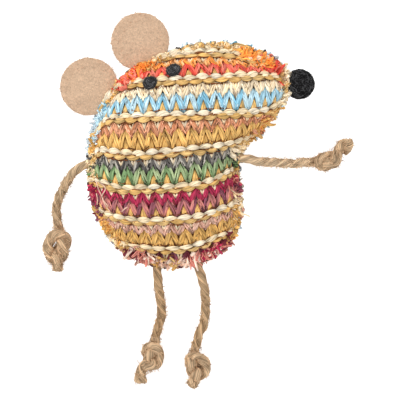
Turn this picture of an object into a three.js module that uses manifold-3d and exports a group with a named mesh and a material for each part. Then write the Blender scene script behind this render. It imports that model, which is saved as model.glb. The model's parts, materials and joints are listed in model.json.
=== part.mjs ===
// A catnip mouse: a cushion of two knitted paper straw panels sewn face to face at their edge,
// with felt ears and eyes, a pompom nose and four knotted jute ropes for its arms and legs.
// It lies on its back. Units are millimetres: +X is to the right, +Y towards the head and +Z up,
// out of its face. The origin is the middle of the flat patch that the toy rests on.
import * as THREE from 'three';
import { mergeVertices } from 'three/addons/utils/BufferGeometryUtils.js';
import Module from 'manifold-3d';

const wasm = await Module();
wasm.setup();

// Driving dimensions of the cushion
const bodyWidth = 92.5;
const bodyHeight = 103.5;
const frontCrown = 18;
const backCrown = 16;
const restDepth = 0.5;
const flangeWidth = 2.4;
const flangeThickness = 1.6;
const panelWall = 2.8;
const stitchPitch = 6.16;
const stitchRelief = 1.6;

// Driving dimensions of the felt pieces and the nose
const earDiameter = 27.2;
const earThickness = 1.2;
const earReach = 9.65;
const earTabDepth = 5.5;
const earTabWidth = 14;
const eyeDiameter = 6.7;
const eyeThickness = 1;
const noseDiameter = 14.4;
const noseSink = 0.3;

// Driving dimensions of the ropes and the filling
const ropeDiameter = 4.2;
const limbReach = 36;
const anchorLength = 12;
const ropeStandOff = 2;
const sachetLength = 34;
const sachetWidth = 24;
const sachetThickness = 11;

// Clearances
const seamGap = 0.3;
const fitClearance = 0.3;
const hingeClearance = 0.35;
const eyeClearance = 0.3;
const cutOverrun = 5;

// Values worked out from them
const seamHeight = backCrown - restDepth;
const ropeRadius = ropeDiameter / 2;
const earRadius = earDiameter / 2;
const noseRadius = noseDiameter / 2;
const earHingeOffset = earThickness / 2 + hingeClearance + fitClearance;

// The sewn edge, from the top of the head round the snout, the belly's right side and back,
// each point as shares of the body's width and height from the fullest place of the cushion
const outlineShares = [
  [0.008, 0.430],
  [0.190, 0.476],
  [0.386, 0.461],
  [0.550, 0.401],
  [0.604, 0.307],
  [0.570, 0.197],
  [0.442, 0.071],
  [0.357, -0.005],
  [0.345, -0.092],
  [0.358, -0.254],
  [0.316, -0.402],
  [0.174, -0.502],
  [-0.048, -0.522],
  [-0.238, -0.439],
  [-0.349, -0.297],
  [-0.388, -0.134],
  [-0.378, 0.042],
  [-0.316, 0.212],
  [-0.179, 0.356],
];

// Height of the swell, as a power of the share of the way out to the edge
const domeFullness = 2.4;
const domeRingShares = [0.22, 0.42, 0.6, 0.74, 0.85, 0.93, 0.98];
const hollowRingShares = [0.35, 0.62, 0.82, 0.94];
const stepsPerOutlinePoint = 3;

// The front's knit: how high each row of twisted straw lies at five places across, chosen so
// that the rows bow over the swell, both as shares of the body's size
const rowPlaceShares = [-0.36, -0.12, 0.12, 0.36, 0.6];
const rowHeightShares = [
  [0.3, 0.397, 0.444, 0.432, 0.38],
  [0.17, 0.305, 0.32, 0.331, 0.33],
  [0.08, 0.143, 0.149, 0.167, 0.22],
  [-0.005, -0.008, -0.002, 0.042, 0.15],
  [-0.145, -0.184, -0.166, -0.08, 0.03],
  [-0.27, -0.322, -0.31, -0.225, -0.12],
  [-0.375, -0.44, -0.445, -0.343, -0.24],
  [-0.5, -0.59, -0.6, -0.49, -0.4],
];

// The relief from one row to the next, as shares of the way: the twisted straw, a groove, and a
// zigzag of stitches with its tops on the columns and its tips halfway between them
const reliefLines = [
  { share: 0, atColumn: 1, between: 1 },
  { share: 0.11, atColumn: 0, between: 0 },
  { share: 0.28, atColumn: 1, between: 0 },
  { share: 0.78, atColumn: 0, between: 1 },
  { share: 0.89, atColumn: 0, between: 0 },
];
const columnsLeft = 8;
const columnsRight = 12;
const middleColumnShare = -0.02;
const knitEndShare = 0.93;

// Where the ears, the nose and the ropes leave the edge, in degrees round the fullest place
const earRoots = {
  left_ear: { rootAngle: 140.5, leanAngle: 144 },
  right_ear: { rootAngle: 101.6, leanAngle: 117 },
};
const noseAngle = 26.6;
const eyeShares = { left_eye: [-0.089, 0.299], right_eye: [0.030, 0.356] };

// The ropes' routes: points chosen from the way they lie, each [right, up, share of the drop to
// the floor] from where the rope leaves the edge, the first two as shares of the limbs' reach
const ropes = {
  left_arm: {
    exitAngle: -169.9,
    routeShares: [
      [0, 0, 0], [-0.12, -0.054, 0.07], [-0.225, -0.165, 0.27], [-0.303, -0.302, 0.53],
      [-0.384, -0.461, 0.82], [-0.407, -0.619, 0.98], [-0.39, -0.76, 1],
    ],
    knot: {
      widthShare: 0.95, lengthShare: 1.22, asideShare: -0.3, mirror: -1,
      tailShares: [[0.25, -1.7, 1.2], [0.3, -2.05, 0.9]],
    },
  },
  right_arm: {
    exitAngle: -5.9,
    routeShares: [
      [0, 0, 0], [0.122, -0.025, 0.06], [0.256, -0.053, 0.24], [0.4, -0.061, 0.5],
      [0.572, -0.072, 0.8], [0.706, -0.078, 0.97], [0.83, -0.063, 1], [0.93, -0.058, 1],
    ],
    knot: {
      widthShare: 0.45, lengthShare: 0.8, asideShare: 0, mirror: 1,
      tailShares: [[2.15, -1.6, 1.3], [3.9, -2.3, 1], [3.3, -3.2, 0.72]],
    },
  },
  left_leg: {
    exitAngle: -95.1,
    routeShares: [
      [0, 0, 0], [0.006, -0.128, 0.06], [0.019, -0.261, 0.25], [0.042, -0.417, 0.54],
      [0.055, -0.54, 0.8], [0.043, -0.66, 0.97], [-0.001, -0.79, 1], [-0.025, -0.914, 1],
    ],
    knot: {
      widthShare: 0.66, lengthShare: 0.88, asideShare: 0, mirror: 1,
      tailShares: [[-1.07, -1.5, 1.2], [-1.3, -2.6, 0.75], [-1.2, -3.6, 0.55]],
    },
  },
  right_leg: {
    exitAngle: -75.4,
    routeShares: [
      [0, 0, 0], [0.033, -0.111, 0.05], [0.075, -0.261, 0.26], [0.094, -0.417, 0.54],
      [0.094, -0.614, 0.88], [0.069, -0.769, 1], [0.022, -0.86, 1], [-0.01, -0.97, 1],
      [-0.035, -1.077, 1],
    ],
    knot: {
      widthShare: 0.87, lengthShare: 0.85, asideShare: 0.6, mirror: 1,
      tailShares: [[0.1, -1.75, 1.25], [0, -2.6, 0.75]],
    },
  },
};

// An overhand knot seen from above, as shares of the rope's diameter: [across, along, height].
// The rope enters at the top, and at the three crossings it goes under, over, under, over,
// under, over. In the knot the rope's twist opens, so it is thicker there.
const knotLooseness = 1.18;
const knotShares = [
  [0, 2.1, 0.53],
  [0, 1.6, 0.53],
  [0, 1.1, 0.66],
  [-0.35, 0.15, 1.45],
  [-0.5, -0.8, 1.05],
  [0.2, -1.25, 0.55],
  [1.05, -0.75, 0.85],
  [1.05, 0.35, 1.25],
  [0.2, 1.05, 1.5],
  [-0.95, 0.8, 1.1],
  [-0.95, 0, 0.62],
  [-0.2, -0.15, 0.55],
  [0.25, -0.65, 1],
  [0.2, -1.25, 1.5],
];
const knotStepShare = 0.9;
const knotFatShare = 1.04;
const ballShare = 0.9;
const earRootShare = 0.9;

// Facets and steps of the round pieces
const ropeSides = 10;
const ropeSteps = 7;
const knotSides = 8;
const knotBarSteps = 4;
const anchorSteps = 1;
const cupSides = 16;
const cupRings = 12;
const pivotSides = 12;
const pivotRings = 8;
const noseSides = 20;
const noseRings = 14;
const seatSides = 24;
const seatRings = 16;
const sachetSides = 24;
const sachetRings = 12;
const earSides = 20;
const earRootSides = 12;
const eyeSides = 24;

// Materials
const strawMaterial = new THREE.MeshStandardMaterial({ color: 0xd9a86a, roughness: 0.8, metalness: 0 });
const backMaterial = new THREE.MeshStandardMaterial({ color: 0xb8c4c8, roughness: 0.8, metalness: 0 });
const feltMaterial = new THREE.MeshStandardMaterial({ color: 0xdeb898, roughness: 0.95, metalness: 0 });
const eyeMaterial = new THREE.MeshStandardMaterial({ color: 0x262424, roughness: 0.9, metalness: 0 });
const juteMaterial = new THREE.MeshStandardMaterial({ color: 0xcda57d, roughness: 0.9, metalness: 0 });
const waddingMaterial = new THREE.MeshStandardMaterial({ color: 0xf2efe8, roughness: 1, metalness: 0 });
const catnipMaterial = new THREE.MeshStandardMaterial({ color: 0x7c8a56, roughness: 1, metalness: 0 });

// Turning a closed geometry into a solid that can be cut or joined, and back
function toSolid(geometry) {
  geometry.deleteAttribute('normal');
  geometry.deleteAttribute('uv');
  const merged = mergeVertices(geometry);
  return new wasm.Manifold(new wasm.Mesh({
    numProp: 3,
    vertProperties: new Float32Array(merged.attributes.position.array),
    triVerts: new Uint32Array(merged.index.array),
  }));
}

function toGeometry(solid) {
  const mesh = solid.getMesh();
  const geometry = new THREE.BufferGeometry();
  geometry.setAttribute('position', new THREE.BufferAttribute(mesh.vertProperties, 3));
  geometry.setIndex(new THREE.BufferAttribute(mesh.triVerts, 1));
  geometry.computeVertexNormals();
  return geometry;
}

// A join of bars can close round a small space, whose wall is a part with less than no volume
function withoutCavities(solid) {
  return solid.decompose().filter((part) => part.volume() > 0).reduce((whole, part) => whole.add(part));
}

// The sewn edge as one closed curve, and how far it is from the middle in any direction
const edgeCurve = new THREE.CatmullRomCurve3(
  outlineShares.map(([x, y]) => new THREE.Vector3(x * bodyWidth, y * bodyHeight, 0)),
  true,
  'catmullrom',
  0.5,
);
const edgeSteps = outlineShares.length * stepsPerOutlinePoint;
const edgePoints = Array.from({ length: edgeSteps }, (_, i) => edgeCurve.getPoint(i / edgeSteps));

function edgeReach(angle) {
  const out = new THREE.Vector2(Math.cos(angle), Math.sin(angle));
  for (let i = 0; i < edgeSteps; i += 1) {
    const a = edgePoints[i];
    const b = edgePoints[(i + 1) % edgeSteps];
    const sideA = out.x * a.y - out.y * a.x;
    const sideB = out.x * b.y - out.y * b.x;
    const ahead = out.x * a.x + out.y * a.y > 0;
    if (ahead && sideA >= 0 !== sideB >= 0) {
      const share = sideA / (sideA - sideB);
      return Math.hypot(a.x + share * (b.x - a.x), a.y + share * (b.y - a.y));
    }
  }
  return 0;
}

function domeShare(share) {
  return Math.sqrt(1 - share ** domeFullness);
}

// Point at a distance beyond the sewn edge, in the seam's plane
function beyondEdge(degrees, distance) {
  const angle = THREE.MathUtils.degToRad(degrees);
  const reach = edgeReach(angle) + distance;
  return new THREE.Vector3(reach * Math.cos(angle), reach * Math.sin(angle), seamHeight);
}

// A solid between two poles on the vertical through the middle: each ring follows the sewn
// edge, drawn in by an inset and scaled by a share, at its own height
function ringedSolid(lowPole, rings, highPole) {
  const positions = [0, 0, lowPole];
  rings.forEach(({ inset, share, height }) => {
    edgePoints.forEach((p) => {
      const reach = Math.hypot(p.x, p.y);
      const scale = (share * (reach - inset)) / reach;
      positions.push(p.x * scale, p.y * scale, height);
    });
  });
  positions.push(0, 0, highPole);
  const last = positions.length / 3 - 1;
  const index = [];
  const at = (ring, i) => 1 + ring * edgeSteps + (i % edgeSteps);
  for (let i = 0; i < edgeSteps; i += 1) {
    index.push(0, at(0, i), at(0, i + 1));
    for (let ring = 0; ring < rings.length - 1; ring += 1) {
      index.push(at(ring, i), at(ring + 1, i), at(ring + 1, i + 1));
      index.push(at(ring, i), at(ring + 1, i + 1), at(ring, i + 1));
    }
    index.push(last, at(rings.length - 1, i + 1), at(rings.length - 1, i));
  }
  const geometry = new THREE.BufferGeometry();
  geometry.setAttribute('position', new THREE.BufferAttribute(new Float32Array(positions), 3));
  geometry.setIndex(index);
  return geometry;
}

// The outline runs clockwise seen from above, so a solid whose rings go down has its faces turned
function turned(geometry) {
  const index = geometry.index.array;
  for (let i = 0; i < index.length; i += 3) {
    [index[i], index[i + 1]] = [index[i + 1], index[i]];
  }
  return geometry;
}

// One panel of the cushion: a swollen shell with a flat sewn edge. side is 1 for the front
// panel, above the seam, and -1 for the back panel, below it.
function panelSolid(side, crown) {
  const mouth = seamHeight + (side * seamGap) / 2;
  const flangeTop = mouth + side * flangeThickness;
  const outerRise = crown - seamGap / 2 - flangeThickness;
  const innerRise = crown - seamGap / 2 - panelWall;
  const innerInset = flangeWidth + panelWall;
  const inner = hollowRingShares.map((share) => ({
    inset: innerInset, share, height: mouth + side * innerRise * domeShare(share),
  }));
  const outer = domeRingShares.map((share) => ({
    inset: flangeWidth, share, height: flangeTop + side * outerRise * domeShare(share),
  }));
  const rings = [
    ...inner,
    { inset: innerInset, share: 1, height: mouth },
    { inset: 0, share: 1, height: mouth },
    { inset: 0, share: 1, height: flangeTop },
    { inset: flangeWidth, share: 1, height: flangeTop },
    ...outer.reverse(),
  ];
  const geometry = ringedSolid(mouth + side * innerRise, rings, flangeTop + side * outerRise);
  return toSolid(side < 0 ? turned(geometry) : geometry);
}

// The front's skin, and how far a place is on its way out to the edge
function shareOut(x, y) {
  return Math.hypot(x, y) / (edgeReach(Math.atan2(y, x)) - flangeWidth);
}

function frontHeight(x, y) {
  const rise = frontCrown - seamGap / 2 - flangeThickness;
  return seamHeight + seamGap / 2 + flangeThickness + rise * domeShare(Math.min(shareOut(x, y), 1));
}

// Height of a line of the knit at x, between the rows of twisted straw above and below it
const rowCurves = rowHeightShares.map((heights) => new THREE.SplineCurve(
  heights.map((y, i) => new THREE.Vector2(rowPlaceShares[i] * bodyWidth, y * bodyHeight)),
));

function rowHeight(curve, x) {
  const first = curve.points[0];
  const last = curve.points[curve.points.length - 1];
  const t = THREE.MathUtils.clamp((x - first.x) / (last.x - first.x), 0, 1);
  return curve.getPoint(t).y;
}

function lineHeight(row, share, x) {
  const next = Math.min(row + 1, rowCurves.length - 1);
  return THREE.MathUtils.lerp(rowHeight(rowCurves[row], x), rowHeight(rowCurves[next], x), share);
}

// Places along a line of the knit, half a stitch of skin apart, outwards from its middle
function stitchPlaces(row, share, direction, count) {
  const places = [];
  let x = middleColumnShare * bodyWidth;
  for (let i = 0; i <= count; i += 1) {
    const y = lineHeight(row, share, x);
    places.push(new THREE.Vector2(x, y));
    const step = (direction * stitchPitch) / 2;
    const climb = (frontHeight(x + step, lineHeight(row, share, x + step)) - frontHeight(x, y)) / step;
    x += step / Math.hypot(1, climb);
  }
  return places;
}

// What the grooves of the knit take off the front panel: a slab over it whose underside dips
// between the stitches and stays clear of the rim
function grooveSolid() {
  const lines = rowCurves.slice(0, -1).flatMap((_, row) => reliefLines.map((line) => ({ row, ...line })));
  const across = 2 * (columnsLeft + columnsRight) + 1;
  const ceiling = seamHeight + frontCrown + cutOverrun;
  const low = [];
  const high = [];
  lines.forEach(({ row, share, atColumn, between }) => {
    const left = stitchPlaces(row, share, -1, 2 * columnsLeft).reverse();
    const right = stitchPlaces(row, share, 1, 2 * columnsRight).slice(1);
    [...left, ...right].forEach(({ x, y }, i) => {
      const stands = i % 2 === 0 ? atColumn : between;
      const dip = shareOut(x, y) < knitEndShare ? stitchRelief * (1 - stands) : -cutOverrun;
      low.push(x, y, frontHeight(x, y) - dip);
      high.push(x, y, ceiling);
    });
  });
  const at = (line, i) => line * across + i;
  const above = low.length / 3;
  const index = [];
  const addQuad = (a, b, c, d) => index.push(a, b, c, a, c, d);
  for (let line = 0; line < lines.length - 1; line += 1) {
    for (let i = 0; i < across - 1; i += 1) {
      const quad = [at(line, i), at(line, i + 1), at(line + 1, i + 1), at(line + 1, i)];
      const [a, b, c, d] = i % 2 === 0 ? quad : [quad[1], quad[2], quad[3], quad[0]];
      addQuad(a, b, c, d);
      addQuad(d + above, c + above, b + above, a + above);
    }
  }
  const rim = [];
  for (let i = 0; i < across - 1; i += 1) {
    rim.push(at(0, i));
  }
  for (let line = 0; line < lines.length - 1; line += 1) {
    rim.push(at(line, across - 1));
  }
  for (let i = across - 1; i > 0; i -= 1) {
    rim.push(at(lines.length - 1, i));
  }
  for (let line = lines.length - 1; line > 0; line -= 1) {
    rim.push(at(line, 0));
  }
  rim.forEach((a, i) => {
    const b = rim[(i + 1) % rim.length];
    addQuad(b, a, a + above, b + above);
  });
  const geometry = new THREE.BufferGeometry();
  geometry.setAttribute('position', new THREE.BufferAttribute(new Float32Array([...low, ...high]), 3));
  geometry.setIndex(index);
  return toSolid(geometry);
}

// Half of the filling, which fits inside a panel
function waddingSolid(side, crown) {
  const flat = seamHeight + (side * seamGap) / 2;
  const inset = flangeWidth + panelWall + fitClearance;
  const rise = crown - seamGap / 2 - panelWall - fitClearance;
  const dome = hollowRingShares.map((share) => ({
    inset, share, height: flat + side * rise * domeShare(share),
  }));
  const rings = [{ inset, share: 1, height: flat }, ...dome.reverse()];
  const geometry = ringedSolid(flat, rings, flat + side * rise);
  return toSolid(side < 0 ? turned(geometry) : geometry);
}

function ballSolid(radius, centre, sides, rings) {
  const geometry = new THREE.SphereGeometry(radius, sides, rings);
  geometry.translate(centre.x, centre.y, centre.z);
  return toSolid(geometry);
}

function sachetSolid(clearance) {
  const geometry = new THREE.SphereGeometry(1, sachetSides, sachetRings);
  geometry.scale(
    sachetWidth / 2 + clearance,
    sachetLength / 2 + clearance,
    sachetThickness / 2 + clearance,
  );
  geometry.translate(0, 0, seamHeight);
  return toSolid(geometry);
}

// A straight or curved round bar through points
function barSolid(points, radius, sides, steps) {
  const outline = new THREE.Shape();
  for (let i = 0; i < sides; i += 1) {
    const angle = (i / sides) * 2 * Math.PI;
    const x = radius * Math.cos(angle);
    const y = radius * Math.sin(angle);
    if (i === 0) outline.moveTo(x, y);
    else outline.lineTo(x, y);
  }
  outline.closePath();
  return toSolid(new THREE.ExtrudeGeometry(outline, {
    steps,
    bevelEnabled: false,
    extrudePath: new THREE.CatmullRomCurve3(points, false, 'catmullrom', 0.5),
  }));
}

// The ropes: an anchor caught in the seam, a free stretch and its knot
function ropeFacts(name) {
  const { exitAngle, routeShares, knot } = ropes[name];
  const exit = beyondEdge(exitAngle, ropeStandOff);
  const drop = seamHeight - ropeRadius;
  const points = routeShares.map(([x, y, share]) => new THREE.Vector3(
    exit.x + x * limbReach,
    exit.y + y * limbReach,
    seamHeight - drop * share,
  ));
  const inward = points[0].clone().sub(points[1]).setZ(0).normalize();
  const last = points[points.length - 1];
  const heading = last.clone().sub(points[points.length - 2]).setZ(0).normalize();
  return { exit, points, inward, last, heading, knot };
}

function anchorBar(facts, radius, extra) {
  const end = facts.exit.clone().addScaledVector(facts.inward, anchorLength + extra);
  return barSolid([facts.exit, end], radius, ropeSides, anchorSteps);
}

function anchorSolid(facts) {
  const cup = ballSolid(ropeRadius + hingeClearance, facts.exit, cupSides, cupRings);
  return anchorBar(facts, ropeRadius, 0).subtract(cup);
}

function cordSolid(facts) {
  const ball = ballSolid(ropeRadius * ballShare, facts.exit, pivotSides, pivotRings);
  return barSolid(facts.points, ropeRadius, ropeSides, ropeSteps).add(ball);
}

// The knot's path is set on the floor past the cord's end. Its first three points keep to the
// cord's line and the next two lead to where the knot lies, aside of it. It is joined from
// short bars that lap by one step, every other one a little fatter.
function knotSolid(facts) {
  const { widthShare, lengthShare, asideShare, mirror, tailShares } = facts.knot;
  const start = facts.last.clone().addScaledVector(facts.heading, fitClearance);
  const aside = new THREE.Vector3(-facts.heading.y, facts.heading.x, 0);
  const entry = knotShares[0][1];
  const points = [...knotShares, ...tailShares].map(([x, y, z], i) => {
    const settled = THREE.MathUtils.clamp((i - 2) / 2, 0, 1);
    const along = (entry - y) * lengthShare * ropeDiameter;
    const across = (x * widthShare * mirror + asideShare * settled) * ropeDiameter;
    const place = start.clone().addScaledVector(facts.heading, along);
    return place.addScaledVector(aside, across).setZ(z * ropeDiameter * knotLooseness);
  });
  const curve = new THREE.CatmullRomCurve3(points, false, 'catmullrom', 0.5);
  const steps = Math.round(curve.getLength() / (knotStepShare * ropeDiameter));
  const spaced = curve.getSpacedPoints(steps);
  let solid = null;
  for (let first = 0; first < steps; first += knotBarSteps - 1) {
    const stretch = spaced.slice(first, first + knotBarSteps + 1);
    if (stretch.length > 1) {
      const fat = (first / (knotBarSteps - 1)) % 2 === 0 ? 1 : knotFatShare;
      const radius = ropeRadius * knotLooseness * fat;
      const bar = barSolid(stretch, radius, knotSides, stretch.length - 1);
      solid = solid ? solid.add(bar) : bar;
    }
  }
  return withoutCavities(solid);
}

// The ears, drawn at the origin with the hinge along Y and the ear towards +X
function earSolid() {
  const halfRoot = Math.sqrt(earRadius ** 2 - earReach ** 2);
  const swing = Math.atan2(halfRoot, -earReach);
  const outline = new THREE.Shape();
  outline.moveTo(0, -halfRoot);
  outline.absarc(earReach, 0, earRadius, -swing, swing, false);
  outline.closePath();
  const plate = new THREE.ExtrudeGeometry(outline, {
    depth: earThickness, bevelEnabled: false, curveSegments: earSides,
  });
  plate.translate(0, 0, -earThickness / 2);
  const rootRadius = (earRootShare * earThickness) / 2;
  const root = new THREE.CylinderGeometry(rootRadius, rootRadius, earTabWidth, earRootSides);
  return toSolid(plate).add(toSolid(root));
}

function earTabBox(clearance) {
  const outerEnd = -(earThickness / 2 + hingeClearance) + clearance;
  const innerEnd = -earHingeOffset - earTabDepth - clearance;
  const box = new THREE.BoxGeometry(
    outerEnd - innerEnd,
    earTabWidth + 2 * clearance,
    earThickness + 2 * clearance,
  );
  box.translate((outerEnd + innerEnd) / 2, 0, 0);
  return box;
}

function placeAt(object, centre, angle) {
  object.position.copy(centre);
  object.rotation.z = angle;
  object.updateMatrix();
  return object;
}

// Putting the toy together
const toy = new THREE.Group();

function addPiece(parent, name, geometry, material) {
  const mesh = new THREE.Mesh(geometry, material);
  mesh.name = name;
  parent.add(mesh);
  return mesh;
}

let front = panelSolid(1, frontCrown).subtract(grooveSolid());
let back = panelSolid(-1, backCrown);
let frontFill = waddingSolid(1, frontCrown);
let backFill = waddingSolid(-1, backCrown);

Object.entries(earRoots).forEach(([name, { rootAngle, leanAngle }]) => {
  const hinge = beyondEdge(rootAngle, earHingeOffset);
  const group = placeAt(new THREE.Group(), hinge, THREE.MathUtils.degToRad(leanAngle));
  addPiece(group, name, toGeometry(earSolid()), feltMaterial);
  addPiece(group, `${name}_tab`, earTabBox(0), feltMaterial);
  const slot = toSolid(earTabBox(fitClearance).applyMatrix4(group.matrix));
  front = front.subtract(slot);
  back = back.subtract(slot);
  frontFill = frontFill.subtract(slot);
  backFill = backFill.subtract(slot);
  toy.add(group);
});

Object.keys(ropes).forEach((name) => {
  const facts = ropeFacts(name);
  addPiece(toy, `${name}_anchor`, toGeometry(anchorSolid(facts)), juteMaterial);
  addPiece(toy, `${name}_cord`, toGeometry(cordSolid(facts)), juteMaterial);
  addPiece(toy, `${name}_knot`, toGeometry(knotSolid(facts)), juteMaterial);
  const channel = anchorBar(facts, ropeRadius + fitClearance, fitClearance);
  front = front.subtract(channel);
  back = back.subtract(channel);
  frontFill = frontFill.subtract(channel);
  backFill = backFill.subtract(channel);
});

const noseCentre = beyondEdge(noseAngle, noseRadius - noseSink);
const noseSeat = ballSolid(noseRadius + fitClearance, noseCentre, seatSides, seatRings);
const noseSolid = ballSolid(noseRadius, noseCentre, noseSides, noseRings);
addPiece(toy, 'nose_ball', toGeometry(noseSolid), eyeMaterial);

const floorSlab = new THREE.BoxGeometry(2 * bodyWidth, 2 * bodyHeight, cutOverrun);
floorSlab.translate(0, 0, -cutOverrun / 2);
front = front.subtract(noseSeat);
back = back.subtract(noseSeat).subtract(toSolid(floorSlab));
const sachetRoom = sachetSolid(fitClearance);
frontFill = frontFill.subtract(sachetRoom);
backFill = backFill.subtract(sachetRoom);

addPiece(toy, 'front_panel', toGeometry(front), strawMaterial);
addPiece(toy, 'back_panel', toGeometry(back), backMaterial);
addPiece(toy, 'front_wadding', toGeometry(frontFill), waddingMaterial);
addPiece(toy, 'back_wadding', toGeometry(backFill), waddingMaterial);
addPiece(toy, 'catnip_sachet', toGeometry(sachetSolid(0)), catnipMaterial);

// The eyes lie on the front panel, square to its surface
Object.entries(eyeShares).forEach(([name, [xShare, yShare]]) => {
  const x = xShare * bodyWidth;
  const y = yShare * bodyHeight;
  const span = eyeDiameter / 2;
  const slopeX = (frontHeight(x + span, y) - frontHeight(x - span, y)) / eyeDiameter;
  const slopeY = (frontHeight(x, y + span) - frontHeight(x, y - span)) / eyeDiameter;
  const normal = new THREE.Vector3(-slopeX, -slopeY, 1).normalize();
  const disc = new THREE.CylinderGeometry(span, span, eyeThickness, eyeSides);
  disc.rotateX(Math.PI / 2);
  const eye = addPiece(toy, name, disc, eyeMaterial);
  eye.quaternion.setFromUnitVectors(new THREE.Vector3(0, 0, 1), normal);
  eye.position.set(x, y, frontHeight(x, y));
  eye.position.addScaledVector(normal, eyeClearance + eyeThickness / 2);
});

export default toy;
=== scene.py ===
# %% [markdown]
# A catnip mouse, made to look real.
#
# The toy is a flat stuffed cushion of striped, knitted paper straw with a frayed edge, felt ears
# and eyes, a pompom nose and four knotted jute ropes. The CAD part gives its shapes, places and
# joints. This lesson knits the straw over them strand by strand, and then sets up a camera straight
# above the toy. Lengths are in millimetres until a mesh is made, which turns them into metres.

import json
import bpy
import numpy as np
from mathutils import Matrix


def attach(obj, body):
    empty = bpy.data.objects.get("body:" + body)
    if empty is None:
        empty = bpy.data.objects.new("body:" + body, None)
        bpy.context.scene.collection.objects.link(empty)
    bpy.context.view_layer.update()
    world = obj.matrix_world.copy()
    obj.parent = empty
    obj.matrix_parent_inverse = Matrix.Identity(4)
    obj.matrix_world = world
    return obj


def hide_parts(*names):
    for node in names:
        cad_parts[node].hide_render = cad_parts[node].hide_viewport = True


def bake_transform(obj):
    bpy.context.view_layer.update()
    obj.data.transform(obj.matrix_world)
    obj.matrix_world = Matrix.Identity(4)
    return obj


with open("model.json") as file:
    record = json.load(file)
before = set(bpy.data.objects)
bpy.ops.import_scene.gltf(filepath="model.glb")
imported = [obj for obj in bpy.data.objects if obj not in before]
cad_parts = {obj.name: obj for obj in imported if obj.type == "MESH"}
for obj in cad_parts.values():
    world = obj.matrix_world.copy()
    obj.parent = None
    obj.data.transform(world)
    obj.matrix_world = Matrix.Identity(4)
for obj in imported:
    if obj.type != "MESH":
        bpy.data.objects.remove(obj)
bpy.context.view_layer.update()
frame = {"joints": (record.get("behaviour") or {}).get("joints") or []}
rng = np.random.default_rng(11)
joint_places = {joint["child"]: np.array(joint["pos_m"]) * 1000 for joint in frame["joints"]}
print("joints at", {name: place.round(1).tolist() for name, place in joint_places.items()}, "mm")


def amount(full):
    return full


# %% [markdown]
# The real cushion is two knitted panels sewn together along one edge and stuffed, so it is two
# domes on a closed curve. A cloth simulation could blow it up, or it could be sculpted. Here it
# is a formula, because every straw has to know where the skin is and which way it faces. The edge
# is a smooth curve through a few points, and a dome's height comes from how far a place is on its
# way out to the edge.

# %% The sewn edge
BODY_SIZE = np.array([92.5, 103.5])
SEAM = 15.5
FRONT_CROWN = 18.0
BACK_CROWN = 16.0
SWELL_POWER = 2.4
FLANGE_WIDTH = 2.4
FLANGE_TOP = 1.75
FLANGE_FALL = 0.9
FALL_SHARE = 0.05
OUTLINE = BODY_SIZE * np.array([
    [0.008, 0.430], [0.190, 0.476], [0.386, 0.461], [0.550, 0.401], [0.604, 0.307],
    [0.570, 0.197], [0.442, 0.071], [0.357, -0.005], [0.345, -0.092], [0.358, -0.254],
    [0.316, -0.402], [0.174, -0.502], [-0.048, -0.522], [-0.238, -0.439], [-0.349, -0.297],
    [-0.388, -0.134], [-0.378, 0.042], [-0.316, 0.212], [-0.179, 0.356],
])


def unit(ways):
    """The same directions with a length of 1: each over its own length."""
    return ways / np.linalg.norm(ways, axis=-1, keepdims=True)


def spline(a, b, c, d, t):
    """Catmull-Rom stretch from b to c, a cubic whose slope at b is (c - a)/2."""
    cubic = (3 * b - a - 3 * c + d) * t**3
    square = (2 * a - 5 * b + 4 * c - d) * t**2
    return (2 * b + (c - a) * t + square + cubic) / 2


def closed_curve(points, steps):
    """The closed curve through a ring of points, each stretch cut in equal steps of t."""
    t = np.linspace(0, 1, steps, endpoint=False)[None, :, None]
    a, b, c, d = (np.roll(points, k, axis=0)[:, None] for k in (1, 0, -1, -2))
    return spline(a, b, c, d, t).reshape(-1, points.shape[1])


def open_curve(points, count):
    """The curve through points in a row, resampled at count places an equal length apart."""
    p = np.asarray(points, float)
    p = np.vstack([2 * p[0] - p[1], p, 2 * p[-1] - p[-2]])
    t = np.linspace(0, 1, 40, endpoint=False)[None, :, None]
    dense = spline(p[:-3, None], p[1:-2, None], p[2:-1, None], p[3:, None], t).reshape(-1, 3)
    dense = np.vstack([dense, p[-2]])
    walked = np.concatenate([[0], np.cumsum(np.linalg.norm(np.diff(dense, axis=0), axis=1))])
    at = np.linspace(0, walked[-1], count)
    return np.stack([np.interp(at, walked, dense[:, k]) for k in range(3)], axis=1)


edge = closed_curve(OUTLINE, 24)
edge_order = np.argsort(np.arctan2(edge[:, 1], edge[:, 0]))
edge_angle = np.arctan2(edge[:, 1], edge[:, 0])[edge_order]
edge_far = np.hypot(edge[:, 0], edge[:, 1])[edge_order]
print("edge of", len(edge), "points, from", edge_far.min(), "to", edge_far.max(), "mm out")

# %% The skin of the cushion
FRONT = 1
BACK = -1


def far_out(angle):
    """How far the sewn edge is from the middle, at an angle."""
    return np.interp(angle, edge_angle, edge_far, period=2 * np.pi)


def reach(x, y):
    """How far the sewn edge is from the middle, in the direction of a place."""
    return far_out(np.arctan2(y, x))


def height(x, y, side):
    """Height of the skin: seam + side * (flange + rise * sqrt(1 - share^power)).

    share is the distance from the middle over the reach less the flange, and side is the front
    or the back. Past a share of 1 the flange itself falls a little.
    """
    crown = FRONT_CROWN if side > 0 else BACK_CROWN
    share = np.hypot(x, y) / (reach(x, y) - FLANGE_WIDTH)
    swell = np.sqrt(1 - np.clip(share, 0, 0.9995) ** SWELL_POWER)
    fall = FLANGE_FALL * np.clip((share - 1) / FALL_SHARE, 0, 1)
    return SEAM + side * (FLANGE_TOP - fall + (crown - FLANGE_TOP) * swell)


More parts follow.
